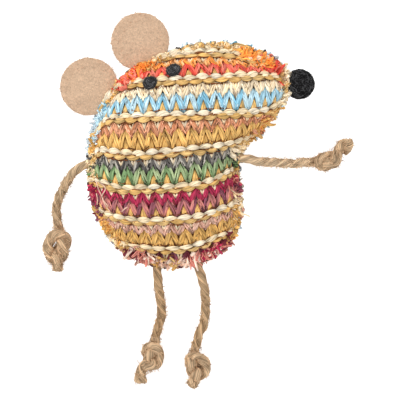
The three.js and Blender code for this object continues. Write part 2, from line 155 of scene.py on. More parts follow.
def skin(x, y, lift, side):
    """The place that is lift away from the skin along its normal, and that normal.

    The normal is (-slope in x, -slope in y, 1), with slopes measured over a step each way.
    """
    step = 0.2
    slope_x = (height(x + step, y, side) - height(x - step, y, side)) / (2 * step)
    slope_y = (height(x, y + step, side) - height(x, y - step, side)) / (2 * step)
    normal = unit(side * np.stack([-slope_x, -slope_y, np.ones_like(slope_x)], axis=-1))
    place = np.stack([x, y, height(x, y, side)], axis=-1)
    return place + normal * np.asarray(lift)[..., None], normal


print("crown at", float(height(0.0, 0.0, FRONT)), "mm")

# %% [markdown]
# Straws, hairs, ropes and discs are all closed bodies. Curve objects with a bevel could make
# them, but thousands of curves are slow and hold no tint of their own. So a body is rings of
# points one after another, worked out as whole arrays, with a ladder of quads over the first and
# the last ring. A strand is such a body whose rings follow a line.

# %% Bodies of rings
GIRTH_SHARE = 3.08


def solid(rings, tint, along=None, girth=1.0, twist=None):
    """Closed bodies from rings of points, shape (bodies, rings, points of a ring, 3).

    Point k of ring j is joined to its neighbours in the ring and in ring j + 1. The map's first
    axis runs round the ring, (k / points - twist) * girth, and its second one is along.
    """
    bodies, rows, corners = rings.shape[:3]
    index = np.arange(bodies * rows * corners).reshape(bodies, rows, corners)
    right = np.roll(index, -1, axis=2)
    wall = np.stack([index[:, :-1], index[:, 1:], right[:, 1:], right[:, :-1]], axis=-1)
    rung = np.arange(corners // 2 - 1)
    other = corners - 1 - rung
    near, far = index[:, 0], index[:, -1]
    first = np.stack([near[:, rung], near[:, rung + 1], near[:, other - 1], near[:, other]], axis=-1)
    last = np.stack([far[:, rung], far[:, other], far[:, other - 1], far[:, rung + 1]], axis=-1)
    faces = np.concatenate([wall.reshape(-1, 4), first.reshape(-1, 4), last.reshape(-1, 4)])
    if along is None:
        along = np.broadcast_to(np.linspace(0, 1, rows), (bodies, rows))
    if twist is None:
        twist = np.zeros((bodies, rows))
    low = np.arange(corners) / corners - twist[:, :, None]
    high = low + 1 / corners
    level = np.broadcast_to(along[:, :, None], low.shape)
    u = np.stack([low[:, :-1], low[:, 1:], high[:, 1:], high[:, :-1]], axis=-1) * girth
    v = np.stack([level[:, :-1], level[:, 1:], level[:, 1:], level[:, :-1]], axis=-1)
    ends = np.zeros((first.size // 4 + last.size // 4, 4, 2))
    uv = np.concatenate([np.stack([u, v], axis=-1).reshape(-1, 4, 2), ends])
    tint = np.broadcast_to(np.asarray(tint, float).reshape(-1, 1, 1, 3), rings.shape)
    seed = np.broadcast_to(rng.uniform(0, 40, bodies)[:, None, None], index.shape)
    return {
        "points": rings.reshape(-1, 3), "faces": faces, "uv": uv,
        "tint": tint.reshape(-1, 3), "seed": seed.reshape(-1),
    }


def frames(line, up):
    """Unit vectors along a line, across it and out of it.

    Across is along x up, and out is across x along, so that it is as near to up as it can be.
    """
    along = unit(np.gradient(line, axis=-2))
    across = unit(np.cross(along, up))
    return along, across, np.cross(across, along)


def sweep(line, up, width, thick, sides, tint, turn=None, lobes=0, dent=0.0, shade=1.5, level=1.0):
    """Strands carried along lines, shape (strands, places, 3).

    At angle f round a strand its surface is at centre + across * width/2 * r * cos f
    + out * thick/2 * r * sin f, with r = 1 - dent * (1 + cos(lobes * (f - turn))) / 2, and its
    tint is level * (1 - shade * (1 - r)) of what is given: painted shade, darker in the dents where
    shade falls, and darker along the strand where level is under 1.
    """
    strands, places = line.shape[:2]
    across, out = frames(line, up)[1:]
    width = np.broadcast_to(width, (strands, places))
    thick = np.broadcast_to(thick, (strands, places))
    turn = np.zeros((strands, places)) if turn is None else turn
    f = 2 * np.pi * np.arange(sides) / sides
    r = 1 - dent * (1 + np.cos(lobes * (f - turn[..., None]))) / 2
    wide = (width[..., None] / 2 * r * np.cos(f))[..., None]
    tall = (thick[..., None] / 2 * r * np.sin(f))[..., None]
    rings = line[:, :, None] + across[:, :, None] * wide + out[:, :, None] * tall
    steps = np.linalg.norm(np.diff(line, axis=1), axis=-1)
    along = np.concatenate([np.zeros((strands, 1)), np.cumsum(steps, axis=1)], axis=1)
    girth = GIRTH_SHARE * float(np.mean(width) + np.mean(thick)) / 2
    made = solid(rings, tint, along, girth, turn / (2 * np.pi))
    # Painted shade: the tint darkens in the dents and where the level along the strand is low.
    light = np.broadcast_to(level, (strands, places))[..., None] * (1 - shade * (1 - r))
    made["tint"] = made["tint"] * light.reshape(-1, 1)
    return made


# %% One object of several bodies
def make(name, parts, material, body=None, replaces=()):
    """A mesh object in metres, with its bodies' strand map, tint and seed."""
    offsets = np.cumsum([0] + [len(p["points"]) for p in parts[:-1]])
    points = np.concatenate([p["points"] for p in parts]) * 0.001
    faces = np.concatenate([p["faces"] + o for p, o in zip(parts, offsets)])
    mesh = bpy.data.meshes.new(name)
    mesh.vertices.add(len(points))
    mesh.vertices.foreach_set("co", points.astype(np.float32).ravel())
    mesh.loops.add(faces.size)
    mesh.loops.foreach_set("vertex_index", faces.astype(np.int32).ravel())
    mesh.polygons.add(len(faces))
    mesh.polygons.foreach_set("loop_start", np.arange(0, faces.size, 4, dtype=np.int32))
    mesh.update(calc_edges=True)
    mesh.validate()
    layer = mesh.uv_layers.new(name="strand")
    uv = np.concatenate([p["uv"] for p in parts])
    layer.data.foreach_set("uv", uv.astype(np.float32).ravel())
    tint = np.concatenate([p["tint"] for p in parts])
    colour = mesh.color_attributes.new("tint", "FLOAT_COLOR", "POINT")
    rgba = np.concatenate([tint, np.ones((len(tint), 1))], axis=1)
    colour.data.foreach_set("color", rgba.astype(np.float32).ravel())
    seed = mesh.attributes.new("seed", "FLOAT", "POINT")
    seed.data.foreach_set("value", np.concatenate([p["seed"] for p in parts]).astype(np.float32))
    mesh.shade_smooth()
    mesh.materials.append(material)
    obj = bpy.data.objects.new(name, mesh)
    bpy.context.scene.collection.objects.link(obj)
    if body:
        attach(obj, body)
    if replaces:
        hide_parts(*replaces)
    print(name, len(points), "points,", 2 * len(faces), "triangles")
    return obj


# %% [markdown]
# Straw, jute and wool are bundles of fibres, and felt is fibres matted together. Pictures could
# be wrapped round them, but each would need its own. Here materials are nodes: every strand
# brings its own tint, and noise that is stretched along its map draws the fibres. Felt, the brown
# body of painted shade under the straws, the stuffing and the pouch mix fine and coarse noise. The
# two kinds of noise are node groups, built once and placed in each material with its own values.

# %% Colours
def linear(rgb):
    """A display colour of 0 to 255 as the linear light a shader takes.

    Of a share c of 255, small ones are c / 12.92 and others ((c + 0.055) / 1.055)^2.4.
    """
    c = np.asarray(rgb, float) / 255
    return np.where(c <= 0.04045, c / 12.92, ((c + 0.055) / 1.055) ** 2.4)


# Painted light: flame is orange painted lighter, for the frayed tufts that stand in the light.
COLOURS = {
    "cream": (246, 223, 183), "milk": (250, 234, 206), "tan": (222, 184, 122), "gold": (224, 178, 106),
    "ochre": (202, 156, 86), "amber": (236, 188, 112), "sky": (202, 230, 240), "blue": (134, 192, 217),
    "orange": (248, 155, 68), "peach": (243, 186, 130), "red": (225, 80, 65), "coral": (240, 130, 110),
    "terracotta": (230, 168, 132), "clay": (204, 136, 96), "grey": (186, 180, 168),
    "slate": (88, 84, 82), "green": (120, 150, 102), "sage": (178, 192, 146), "magenta": (200, 64, 98),
    "crimson": (162, 40, 72), "mauve": (140, 80, 95), "salmon": (218, 142, 128),
    "pink": (230, 190, 168), "rose": (214, 160, 140), "wine": (112, 42, 52), "blush": (245, 219, 200),
    "mist": (205, 218, 225), "char": (60, 55, 60), "jute": (210, 178, 142), "bark": (146, 112, 80),
    "umber": (118, 68, 34), "flame": (255, 172, 84), "felt": (222, 188, 157), "ink": (30, 29, 30),
    "ash": (96, 96, 98),
}
COLOURS = {name: linear(rgb) for name, rgb in COLOURS.items()}
# The brown under the straws is painted shade: it stands for the shade between them and the backs of the
# strands there.
SHADE_BROWN = linear((166, 104, 54))
WADDING_WHITE = linear((240, 237, 230))
CATNIP_GREEN = linear((124, 138, 86))
print("colours of straw, rope and felt:", len(COLOURS))


def blend_tints(first, second, share, level=1.0):
    """Colours between two rows of colours: (first + (second - first) * share) * level."""
    share = np.asarray(share)[..., None]
    return (first + (second - first) * share) * np.asarray(level)[..., None]


# %% Node helpers
def node(tree, kind, inputs=None, **settings):
    """A node with its settings, its inputs linked to sockets or set to values."""
    made = tree.nodes.new(kind)
    for key, value in settings.items():
        setattr(made, key, value)
    for socket, value in (inputs or {}).items():
        if isinstance(value, bpy.types.NodeSocket):
            tree.links.new(value, made.inputs[socket])
        else:
            made.inputs[socket].default_value = value
    return made


def group(name, inputs, outputs):
    """An empty node group with named sockets, and its two end nodes."""
    tree = bpy.data.node_groups.new(name, "ShaderNodeTree")
    for label, value in inputs:
        socket = tree.interface.new_socket(label, in_out="INPUT", socket_type="NodeSocketFloat")
        socket.default_value = value
    for label in outputs:
        tree.interface.new_socket(label, in_out="OUTPUT", socket_type="NodeSocketFloat")
    return tree, tree.nodes.new("NodeGroupInput"), tree.nodes.new("NodeGroupOutput")


def use_group(tree, name, inputs):
    """A node group placed in a material with its own values."""
    return node(tree, "ShaderNodeGroup", inputs, node_tree=bpy.data.node_groups[name])


# %% Fibres that run along a strand
tree, enter, leave = group(
    "fibre_lines", [("Across", 4.0), ("Along", 0.25), ("Coarse", 1.0)], ["Lines", "Patches"]
)
strand = node(tree, "ShaderNodeUVMap", uv_map="strand")
seed = node(tree, "ShaderNodeAttribute", attribute_name="seed")
scale = node(tree, "ShaderNodeCombineXYZ", {0: enter.outputs["Across"], 1: enter.outputs["Along"]})
spread = node(
    tree, "ShaderNodeVectorMath", {0: strand.outputs[0], 1: scale.outputs[0]}, operation="MULTIPLY"
)
lines = node(
    tree, "ShaderNodeTexNoise",
    {"Vector": spread.outputs[0], "W": seed.outputs["Fac"], "Scale": 1.0, "Detail": 3.0},
    noise_dimensions="4D",
)
patches = node(
    tree, "ShaderNodeTexNoise",
    {"Vector": strand.outputs[0], "W": seed.outputs["Fac"], "Scale": enter.outputs["Coarse"]},
    noise_dimensions="4D",
)
tree.links.new(lines.outputs[0], leave.inputs["Lines"])
tree.links.new(patches.outputs[0], leave.inputs["Patches"])

# %% Fluff, for felt, the brown body of painted shade, the stuffing and the pouch
tree, enter, leave = group("fluff", [("Fine", 1400.0), ("Coarse", 180.0)], ["Fluff", "Mottle"])
place = node(tree, "ShaderNodeTexCoord")
fine = node(
    tree, "ShaderNodeTexNoise",
    {"Vector": place.outputs["Object"], "Scale": enter.outputs["Fine"], "Detail": 4.0,
     "Distortion": 1.2},
)
coarse = node(
    tree, "ShaderNodeTexNoise",
    {"Vector": place.outputs["Object"], "Scale": enter.outputs["Coarse"], "Detail": 5.0},
)
tree.links.new(fine.outputs[0], leave.inputs["Fluff"])
tree.links.new(coarse.outputs[0], leave.inputs["Mottle"])
print("node groups:", [g.name for g in bpy.data.node_groups])


# %% Materials of fibre and of fluff
def new_material(name, roughness, specular):
    """A material of one Principled BSDF, with how rough and how shiny it is."""
    material = bpy.data.materials.new(name)
    material.use_nodes = True
    shader = material.node_tree.nodes["Principled BSDF"]
    shader.inputs["Roughness"].default_value = roughness
    shader.inputs["Specular IOR Level"].default_value = specular
    return material, material.node_tree, shader


def band(tree, value, low, high):
    """A value of noise, around a half, spread between low and high."""
    made = node(tree, "ShaderNodeMapRange", {0: value, 1: 0.3, 2: 0.7, 3: low, 4: high})
    return made.outputs[0]


def paint(tree, shader, fine, fine_band, coarse, coarse_band, strength, depth):
    """Base Color is tint * fine * coarse noise, each in its band, and the fine one is the bump."""
    tint = node(tree, "ShaderNodeAttribute", attribute_name="tint")
    levels = {0: band(tree, fine, *fine_band), 1: band(tree, coarse, *coarse_band)}
    level = node(tree, "ShaderNodeMath", levels, operation="MULTIPLY")
    colour = node(
        tree, "ShaderNodeVectorMath", {0: tint.outputs["Color"], "Scale": level.outputs[0]},
        operation="SCALE",
    )
    bump = node(tree, "ShaderNodeBump", {"Height": fine, "Strength": strength, "Distance": depth})
    tree.links.new(colour.outputs[0], shader.inputs["Base Color"])
    tree.links.new(bump.outputs[0], shader.inputs["Normal"])


def fibre_material(name, across, along, coarse, contrast, depth, roughness=0.72, specular=0.25):
    """Light and dark fibres and soft patches along a strand, with a bump of the same fibres."""
    material, tree, shader = new_material(name, roughness, specular)
    noise = use_group(tree, "fibre_lines", {"Across": across, "Along": along, "Coarse": coarse})
    streaks = (1 - 0.8 * contrast, 1 + 1.3 * contrast)
    paint(tree, shader, noise.outputs["Lines"], streaks, noise.outputs["Patches"],
          coarse_band=(0.86, 1.1), strength=0.8, depth=depth)
    return material


def fluff_material(name, fine, coarse, contrast, depth):
    """Fine specks and a faint mottle, with a soft sheen."""
    material, tree, shader = new_material(name, roughness=0.95, specular=0.15)
    noise = use_group(tree, "fluff", {"Fine": fine, "Coarse": coarse})
    specks = (1 - contrast, 1 + contrast)
    paint(tree, shader, noise.outputs["Fluff"], specks, noise.outputs["Mottle"],
          coarse_band=(0.95, 1.05), strength=0.9, depth=depth)
    shader.inputs["Sheen Weight"].default_value = 0.3
    shader.inputs["Sheen Roughness"].default_value = 0.6
    return material


straw = fibre_material(
    "paper_straw", across=2.4, along=0.25, coarse=0.35, contrast=0.7, depth=0.0003
)
jute = fibre_material(
    "jute_fibre", across=2.6, along=0.2, coarse=0.6, contrast=0.95, depth=0.0005, roughness=0.9
)
wool = fibre_material(
    "wool_fibre", across=2.0, along=0.5, coarse=0.5, contrast=0.3, depth=0.0001, roughness=0.9,
    specular=0.2,
)
felt = fluff_material("felt", fine=1100, coarse=200, contrast=0.24, depth=0.0003)
shade_and_fill = fluff_material("under_cloth", fine=900, coarse=90, contrast=0.25, depth=0.0003)
print("materials:", [m.name for m in bpy.data.materials])


def straw_piece(name, parts):
    """A piece of straw that stays with the cushion."""
    return make(name, parts, straw, "body")


# %% [markdown]
# A knitted panel is a grid of stitches that hangs a little crooked on the swell. Its strands
# could be placed by hand, but there are over a thousand, so the knit gets coordinates of its own:
# u counts the columns from the middle one, an equal length of skin apart, and v counts the rows
# of twisted straw from the top. The rows are lines seen in the photo, as image pixels of 0.47 mm.

# %% Rows seen in the photo
PITCH = 6.16
PIXEL = 0.47
MIDDLE_PIXEL = (168, 150)
ROWS = [
    [(157, 24), (177, 19), (200, 17), (224, 18), (250, 25)],
    [(150, 63), (157, 60), (165, 57.6), (177, 55), (200, 53.5), (224, 54.2), (240, 57),
     (250, 61.5)],
    [(100, 110), (107, 99), (111, 94), (116, 89), (123, 86), (137, 83), (150, 81.7), (170, 80.5),
     (188, 79.5), (200, 78.5), (215, 78), (230, 77), (250, 75.5), (265, 75), (280, 77), (288, 80)],
    [(96, 134), (103, 122), (114, 118.3), (135, 117.5), (155, 116.8), (175, 115.6), (195, 115.5),
     (215, 114), (235, 114), (257, 113), (266, 111), (275, 107), (284, 103)],
    [(91, 163), (97, 153), (103, 151), (112, 153), (120, 154.2), (140, 154.9), (160, 153.8),
     (180, 151.3), (200, 149.1), (220, 146), (235, 142.8), (245, 139), (262, 131)],
    [(90, 180), (98, 182), (106, 184), (117, 188.2), (128, 189.5), (142, 189), (160, 188.2),
     (180, 187.1), (196, 184.8), (209, 182), (220, 177.5), (226, 173), (240, 167)],
    [(93, 206), (100, 210), (105, 213.5), (118, 217.7), (130, 220), (143, 221.2), (170, 220.3),
     (185, 218.7), (198, 216.6), (211, 213.4), (224, 208), (232, 204.5), (240, 200)],
    [(108, 237), (118, 242), (132, 245.8), (145, 247.3), (159, 249.3), (172, 249), (185, 248.4),
     (198, 245), (210, 241), (217, 236.5), (226, 234), (238, 228)],
    [(108, 268), (118, 273), (145, 281), (172, 283), (198, 279), (217, 270), (238, 258)],
]


def from_pixels(points):
    """Places in the photo as places in the frame's plane: (place - middle) * pixel, y upwards."""
    p = np.asarray(points, float)
    turned = np.stack([p[..., 0] - MIDDLE_PIXEL[0], MIDDLE_PIXEL[1] - p[..., 1]], axis=-1)
    return turned * PIXEL


row_lines = [from_pixels(r) for r in ROWS]
print("rows of twisted straw seen in the photo:", len(row_lines))

# %% Columns an equal length of skin apart
# The middle column stands at MIDDLE_X where y is MIDDLE_Y and leans by LEAN of its rise.
MIDDLE_X = -2.44
MIDDLE_Y = 27.3
LEAN = 0.05
levels = np.linspace(-62, 58, 241)
reaches = np.linspace(-50, 70, 481)
grid_x, grid_y = np.meshgrid(reaches, levels)
climb = np.diff(height(grid_x, grid_y, FRONT), axis=1)
skin_run = np.cumsum(np.hypot(np.diff(reaches), climb), axis=1)
skin_run = np.concatenate([np.zeros((len(levels), 1)), skin_run], axis=1)
middle_x = MIDDLE_X - LEAN * (levels - MIDDLE_Y)
skin_run -= np.array([np.interp(m, reaches, r) for m, r in zip(middle_x, skin_run)])[:, None]
counts = np.arange(-18, 18.01, 0.25)
column_table = np.array([np.interp(counts * PITCH, r, reaches) for r in skin_run])


def column_x(u, y):
    """x of column u at height y in the plane, read between the nearest entries of a table."""
    row = np.clip((y - levels[0]) / (levels[1] - levels[0]), 0, len(levels) - 1.001)
    col = np.clip((u - counts[0]) / (counts[1] - counts[0]), 0, len(counts) - 1.001)
    r, c = row.astype(int), col.astype(int)
    row, col = row - r, col - c
    low = column_table[r, c] * (1 - col) + column_table[r, c + 1] * col
    high = column_table[r + 1, c] * (1 - col) + column_table[r + 1, c + 1] * col
    return low * (1 - row) + high * row


def row_y(v, x):
    """y of row v at x, between the two nearest of the rows seen in the photo."""
    lines = np.stack([np.interp(x, line[:, 0], line[:, 1]) for line in row_lines])
    k = np.clip(np.floor(v).astype(int), 0, len(row_lines) - 2)
    low = np.take_along_axis(lines, k[None], axis=0)[0]
    high = np.take_along_axis(lines, k[None] + 1, axis=0)[0]
    return low + (v - k) * (high - low)


def knit_place(u, v):
    """x and y of a place given in columns and rows, found in four rounds.

    Right of the middle the columns lie as u + pull * u * (even - u), since the photo's are a
    little wider there at first and then narrower. From row to row they shift by up to a tenth.
    """
    pull = np.interp(v, [3, 5], [0.009, 0.025])
    even = np.interp(v, [3, 5], [7, 5])
    u = u + pull * np.maximum(u, 0) * (even - u)
    u = u + np.interp(v, [2, 3, 4, 5, 6, 7], [0, -0.07, -0.04, 0, 0.08, 0.1])
    x = middle_x.mean() + PITCH * u
    for _ in range(4):
        y = row_y(v, x)
        x = column_x(u, y)
    return x, y


print("table of columns:", column_table.shape)

# %% [markdown]
# The real panel is knitted from flat paper straw in bands. Each band has two zigzags of V
# stitches, and a row of two twisted straws, one pale and one tan, divides it from the next. A
# bump map could draw this, but seen from the side and at the edge the straws have to stand up. So
# one repeat, which is one column of one band, is a few strands, each going from one place to
# another in it, diving at its ends and rising in the middle.

# %% Strands of one repeat
# Each is: start (u, v), end (u, v), bow of the middle (u, v), lift at ends and middle, width at
# ends and middle, thickness, and the place of its colour in the band's list.
REPEAT = {
    "upper_left": ((0, 0.10), (-0.5, 0.57), (0, 0), (-1.3, 0.1), (1.3, 2.2), 0.95, 0),
    "upper_right": ((0, 0.10), (0.5, 0.57), (0, 0), (-1.3, 0.1), (1.3, 2.2), 0.95, 0),
    "lower_left": ((0, 0.33), (-0.5, 0.93), (-0.03, 0), (-1.2, 0.35), (1.4, 2.25), 1.0, 1),
    "lower_right": ((0, 0.33), (0.5, 0.93), (0.03, 0), (-1.2, 0.35), (1.4, 2.25), 1.0, 1),
    "twist_pale": ((-0.53, -0.01), (0.53, -0.01), (0, -0.045), (-0.6, 0.7), (0.9, 2.9), 1.3, 2),
    "twist_tan": ((-0.06, 0.035), (1.06, 0.035), (0, 0.05), (-1.0, 0.45), (0.9, 2.9), 1.2, 3),
    "top_loop": ((-0.5, 0.85), (0.5, 0.85), (0, -0.03), (-0.6, 0.3), (0.9, 2.5), 1.2, 1),
    "notch_left": ((0.32, 0.11), (0.5, 0.38), (0, 0), (-1.4, -0.5), (0.8, 1.15), 0.8, 2),
    "notch_right": ((0.68, 0.11), (0.5, 0.38), (0, 0), (-1.4, -0.5), (0.8, 1.15), 0.8, 2),
    "neck_left": ((0.05, 0.56), (-0.18, 1.0), (0, 0), (-1.6, -0.1), (0.9, 1.75), 1.2, 4),
    "neck_right": ((-0.05, 0.56), (0.18, 1.0), (0, 0), (-1.6, -0.1), (0.9, 1.75), 1.2, 4),
}

# %% Colours of the bands
# From the top band down, each is the two colours of the upper V, the lower V, the pale and the
# tan strand of the twisted row over it, and the necks between the V shapes.
BANDS = [
    [("cream", "milk"), ("gold", "tan"), ("cream", "milk"), ("tan", "gold"), ("amber", "tan")],
    [("orange", "peach"), ("red", "coral"), ("cream", "milk"), ("tan", "gold"), ("amber", "gold")],
    [("milk", "cream"), ("sky", "blue"), ("cream", "milk"), ("tan", "gold"), ("amber", "tan")],
    [("terracotta", "clay"), ("gold", "amber"), ("cream", "milk"), ("tan", "gold"), ("gold", "ochre")],
    [("slate", "grey"), ("green", "sage"), ("cream", "milk"), ("tan", "gold"), ("amber", "gold")],
    [("magenta", "crimson"), ("mauve", "salmon"), ("cream", "milk"), ("tan", "gold"), ("amber", "gold")],
    [("pink", "rose"), ("gold", "ochre"), ("cream", "milk"), ("tan", "gold"), ("gold", "amber")],
    [("wine", "mauve"), ("salmon", "blush"), ("cream", "milk"), ("tan", "gold"), ("gold", "pink")],
]
# How wide the pale strand of each band's twisted row is, as a share of the usual.
PALE_SHARES = np.array([1, 1.35, 1.12, 1, 1.12, 0.97, 1, 1])
FIRST_COLUMN = -15
PAST_COLUMN = 16
print(len(REPEAT), "kinds of strand,", len(BANDS), "bands,", PAST_COLUMN - FIRST_COLUMN, "columns")

# %% Knitting
# Ends stray by so many columns and half as many rows, and a straw differs at random in its lift
# in millimetres, in its tilt and width as shares, and in its light.
END_SHAKE = 0.026
LIFT_SHAKE = 0.1
TILT_SHAKE = 0.16
WIDTH_SHAKE = 0.07
LIGHT_SHAKE = 0.07
SWELL = 0.7
EDGE_ROOM = 0.9
EDGE_PAST = 1.2
PRESS_UNDER = 2.0
TABLE_GAP = 0.05


def press_flat(z):
    """Heights that the table presses: under a limit, gap + span * exp((z - limit) / span)."""
    span = PRESS_UNDER - TABLE_GAP
    return np.where(z < PRESS_UNDER, TABLE_GAP + span * np.exp((z - PRESS_UNDER) / span), z)


def knit(names, side, places, sides, shift=0, plies=(0,), slim=1.0, dent=0.1, bright=1.0, bands=8):
    """Strands of the named kinds over one side of the cushion.

    Along a strand, t runs from 0 to 1: a place is start + (end - start) * t + bow * sin(pi t),
    its lift is ends + (middle - ends) * sin(pi t)^swell, and its width swells the same way. Its
    tint is painted shade, darker towards both ends where it dives under other strands and in its
    dents. A strand of several plies lies side by side in u, each as wide as the slim share of it.
    Only the first few bands may be knitted, and the colours may shift by a number of bands. What
    would pass the edge is drawn in, and the table presses the back's strands flat.
    """
    columns = np.arange(FIRST_COLUMN, PAST_COLUMN)
    band_at, column = np.meshgrid(np.arange(bands), columns, indexing="ij")
    band_at, column = band_at.ravel(), column.ravel()
    t = np.linspace(0, 1, places)
    bulge = np.sin(np.pi * t)
    parts = []
    for name, ply in [(name, ply) for name in names for ply in plies]:
        start, end, bow, lift, width, thick, colour = REPEAT[name]
        wander = rng.normal(0, END_SHAKE, (4, len(column), 1))
        u = column[:, None] + start[0] + (end[0] - start[0]) * t + bow[0] * bulge + ply
        v = band_at[:, None] + start[1] + (end[1] - start[1]) * t + bow[1] * bulge
        u = u + wander[0] * (1 - t) + wander[1] * t
        v = v + 0.5 * (wander[2] * (1 - t) + wander[3] * t)
        x, y = knit_place(u, v)
        room = reach(x, y) - np.hypot(x, y)
        keep = room[:, places // 2] > -EDGE_ROOM
        x, y, room = x[keep], y[keep], room[keep]
        draw_in = np.clip((np.hypot(x, y) + np.minimum(room + EDGE_PAST, 0)) / np.hypot(x, y), 0, 1)
        x, y = x * draw_in, y * draw_in
        n = len(x)
        rise = lift[0] + (lift[1] - lift[0]) * bulge**SWELL + rng.normal(0, LIFT_SHAKE, (n, 1))
        line, up = skin(x, y, np.broadcast_to(rise, x.shape), side)
        up = up + rng.normal(0, TILT_SHAKE, (n, 1, 3))
        wide = width[0] + (width[1] - width[0]) * bulge**SWELL
        wide = wide * rng.normal(slim, WIDTH_SHAKE, (n, 1))
        if name == "twist_pale":
            wide = wide * PALE_SHARES[band_at[keep]][:, None]
        first = np.array([COLOURS[b[colour][0]] for b in BANDS])
        second = np.array([COLOURS[b[colour][1]] for b in BANDS])
        pick = (band_at[keep] + shift) % len(BANDS)
        share = rng.beta(0.5, 0.5, n)
        tint = blend_tints(first[pick], second[pick], share, rng.normal(bright, LIGHT_SHAKE, n))
        turn = rng.uniform(0, 6.3, (n, 1)) + rng.normal(0.8, 0.8, (n, 1)) * t
        # Painted shade: a strand's tint darkens towards both ends, where it dives under other strands.
        depth = 0.3 + 0.78 * bulge**0.6
        made = sweep(line, up, wide, thick, sides, tint, turn, lobes=3, dent=dent, shade=1.2,
                     level=depth)
        if side < 0:
            made["points"][:, 2] = press_flat(made["points"][:, 2])
        parts.append(made)
    return parts


# %% The knitted pieces
leg_look = {
    "places": amount(12), "sides": amount(10), "plies": (-0.088, 0.088), "slim": 0.67,
    "dent": 0.2, "bright": 1.12,
}
upper = ["upper_left", "upper_right"]
lower = ["lower_left", "lower_right"]
twist = ["twist_tan", "twist_pale"]
notches = ["notch_left", "notch_right"]
necks = ["neck_left", "neck_right"]
straw_piece("knit_upper", knit(upper, FRONT, **leg_look))
straw_piece("knit_lower", knit(lower, FRONT, **leg_look))
straw_piece("knit_twist", knit(twist, FRONT, places=14, sides=14))
straw_piece("knit_infill", knit(notches + necks, FRONT, places=8, sides=8))
straw_piece("knit_top", knit(["top_loop"], FRONT, places=12, sides=12, bands=1))
straw_piece("knit_back", knit(upper + lower + twist + necks, BACK, places=8, sides=6, shift=3))

# %% [markdown]
# Small dark and pale specks lie on the straw of the V shapes, the dark ones partly the straw's
# own and partly painted shade, and painted shade lies in the grooves by each twisted row. Noise in
# the material could spot the straw, but its spots wouldn't lie along the stitches or in the grooves.
# So each speck and each mark of painted shade is a very short strand of its own.

# %% Flecks on the V shapes and painted shade in the grooves
LEGS = [REPEAT["upper_right"], REPEAT["lower_right"]]
LEG_TOPS = np.array([leg[0][1] for leg in LEGS])
LEG_BOTTOMS = np.array([leg[1][1] for leg in LEGS])
GROOVE_ROWS = np.array([-0.155, 0.01, 0.17])
GROOVE_LIFTS = np.array([0.2, 0.75, 0.2])
BIT_THICKNESS = 0.4
BIT_SIDES = 6
EDGE_MARGIN = 1


def lay_bits(u, v, lift, wide, tint):
    """Strands through places of the knit at a lift, apart from those too near the edge."""
    x, y = knit_place(u, v)
    keep = (reach(x, y) - np.hypot(x, y)).min(axis=1) > EDGE_MARGIN
    line, up = skin(x[keep], y[keep], lift[keep], FRONT)
    return sweep(line, up, wide[keep], BIT_THICKNESS, BIT_SIDES, tint[keep])


def flecks(count):
    """Short bits on the legs of the V shapes, in their colour but much darker, or a little lighter.

    A leg goes from (0, top) to (0.5, bottom) in columns and rows, and a bit lies on a stretch of
    it. A dark bit is umber * warmth + tint * (0.28 + 0.3 * paleness^2), partly a darker speck of the
    straw and partly painted shade.
    """
    band_at = rng.integers(0, len(BANDS), count)
    leg = rng.integers(0, len(LEGS), count)
    start = rng.uniform(0.05, 0.9, (count, 1))
    t = start + rng.uniform(0.08, 0.26, (count, 1)) * np.linspace(0, 1, 6)
    hand = np.where(rng.integers(0, 2, count) > 0, 1, -1)[:, None]
    column = rng.integers(FIRST_COLUMN, PAST_COLUMN, (count, 1))
    u = column + hand * 0.5 * t + rng.normal(0, 0.1, (count, 1))
    top, bottom = LEG_TOPS[leg][:, None], LEG_BOTTOMS[leg][:, None]
    v = band_at[:, None] + top + (bottom - top) * t
    v = v + rng.normal(0, 0.05, (count, 1)) * (t - start)
    lift = -0.35 + 0.95 * np.sin(np.pi * np.clip(t, 0, 1)) ** SWELL
    tints = np.array([[COLOURS[name] for name in (b[0][0], b[1][0])] for b in BANDS])
    tint = tints[band_at, leg]
    paleness = tint.mean(axis=1, keepdims=True)
    warmth = np.clip(tint[:, :1] - tint[:, 2:], 0, 0.4)
    # Partly painted shade: a dark bit is the leg's own colour darkened, with umber in the warm ones.
    dark = warmth * COLOURS["umber"] + tint * (0.28 + 0.3 * paleness**2)
    tint = np.where(rng.uniform(0, 1, (count, 1)) < 0.6, dark, 1.2 * tint)
    return lay_bits(u, v, lift, rng.uniform(0.35, 0.7, (count, 1)), tint)


def groove_shade(count):
    """Painted shade: short dark strands in the grooves above, inside and below each twisted row."""
    groove = rng.integers(0, len(GROOVE_ROWS), count)
    t = rng.uniform(0.1, 0.3, (count, 1)) * np.linspace(-1, 1, 6)
    u = rng.uniform(FIRST_COLUMN, PAST_COLUMN, (count, 1)) + t
    v = rng.integers(0, len(BANDS) + 1, (count, 1)) + GROOVE_ROWS[groove][:, None]
    v = v + rng.normal(0, 0.012, (count, 1)) + rng.normal(0, 0.12, (count, 1)) * t
    lift = GROOVE_LIFTS[groove][:, None] + 0 * t
    # Painted shade in the grooves: umber at random strengths.
    dark = COLOURS["umber"] * rng.uniform(0.5, 1.6, (count, 1))
    return lay_bits(u, v, lift, rng.uniform(0.3, 0.6, (count, 1)), dark)


straw_piece("knit_flecks", [flecks(amount(4600)), groove_shade(amount(1500))])

# %% [markdown]
# Between the straws only shade and the backs of other strands show, and here a brown body under
# the straws stands for them: painted shade. The real cushion is filled with wadding and a pouch
# of catnip, which nobody sees. Boolean cuts could hollow one block into shells, but nothing inside
# needs them. So the brown body of painted shade is one closed body that stands for both panels,
# and the stuffing and the pouch are closed bodies inside it.

# %% Cushion, stuffing and pouch
FLOOR_GAP = 0.4
SEAM_GAP = 0.3
POUCH_RADII = (12, 17, 5.5)


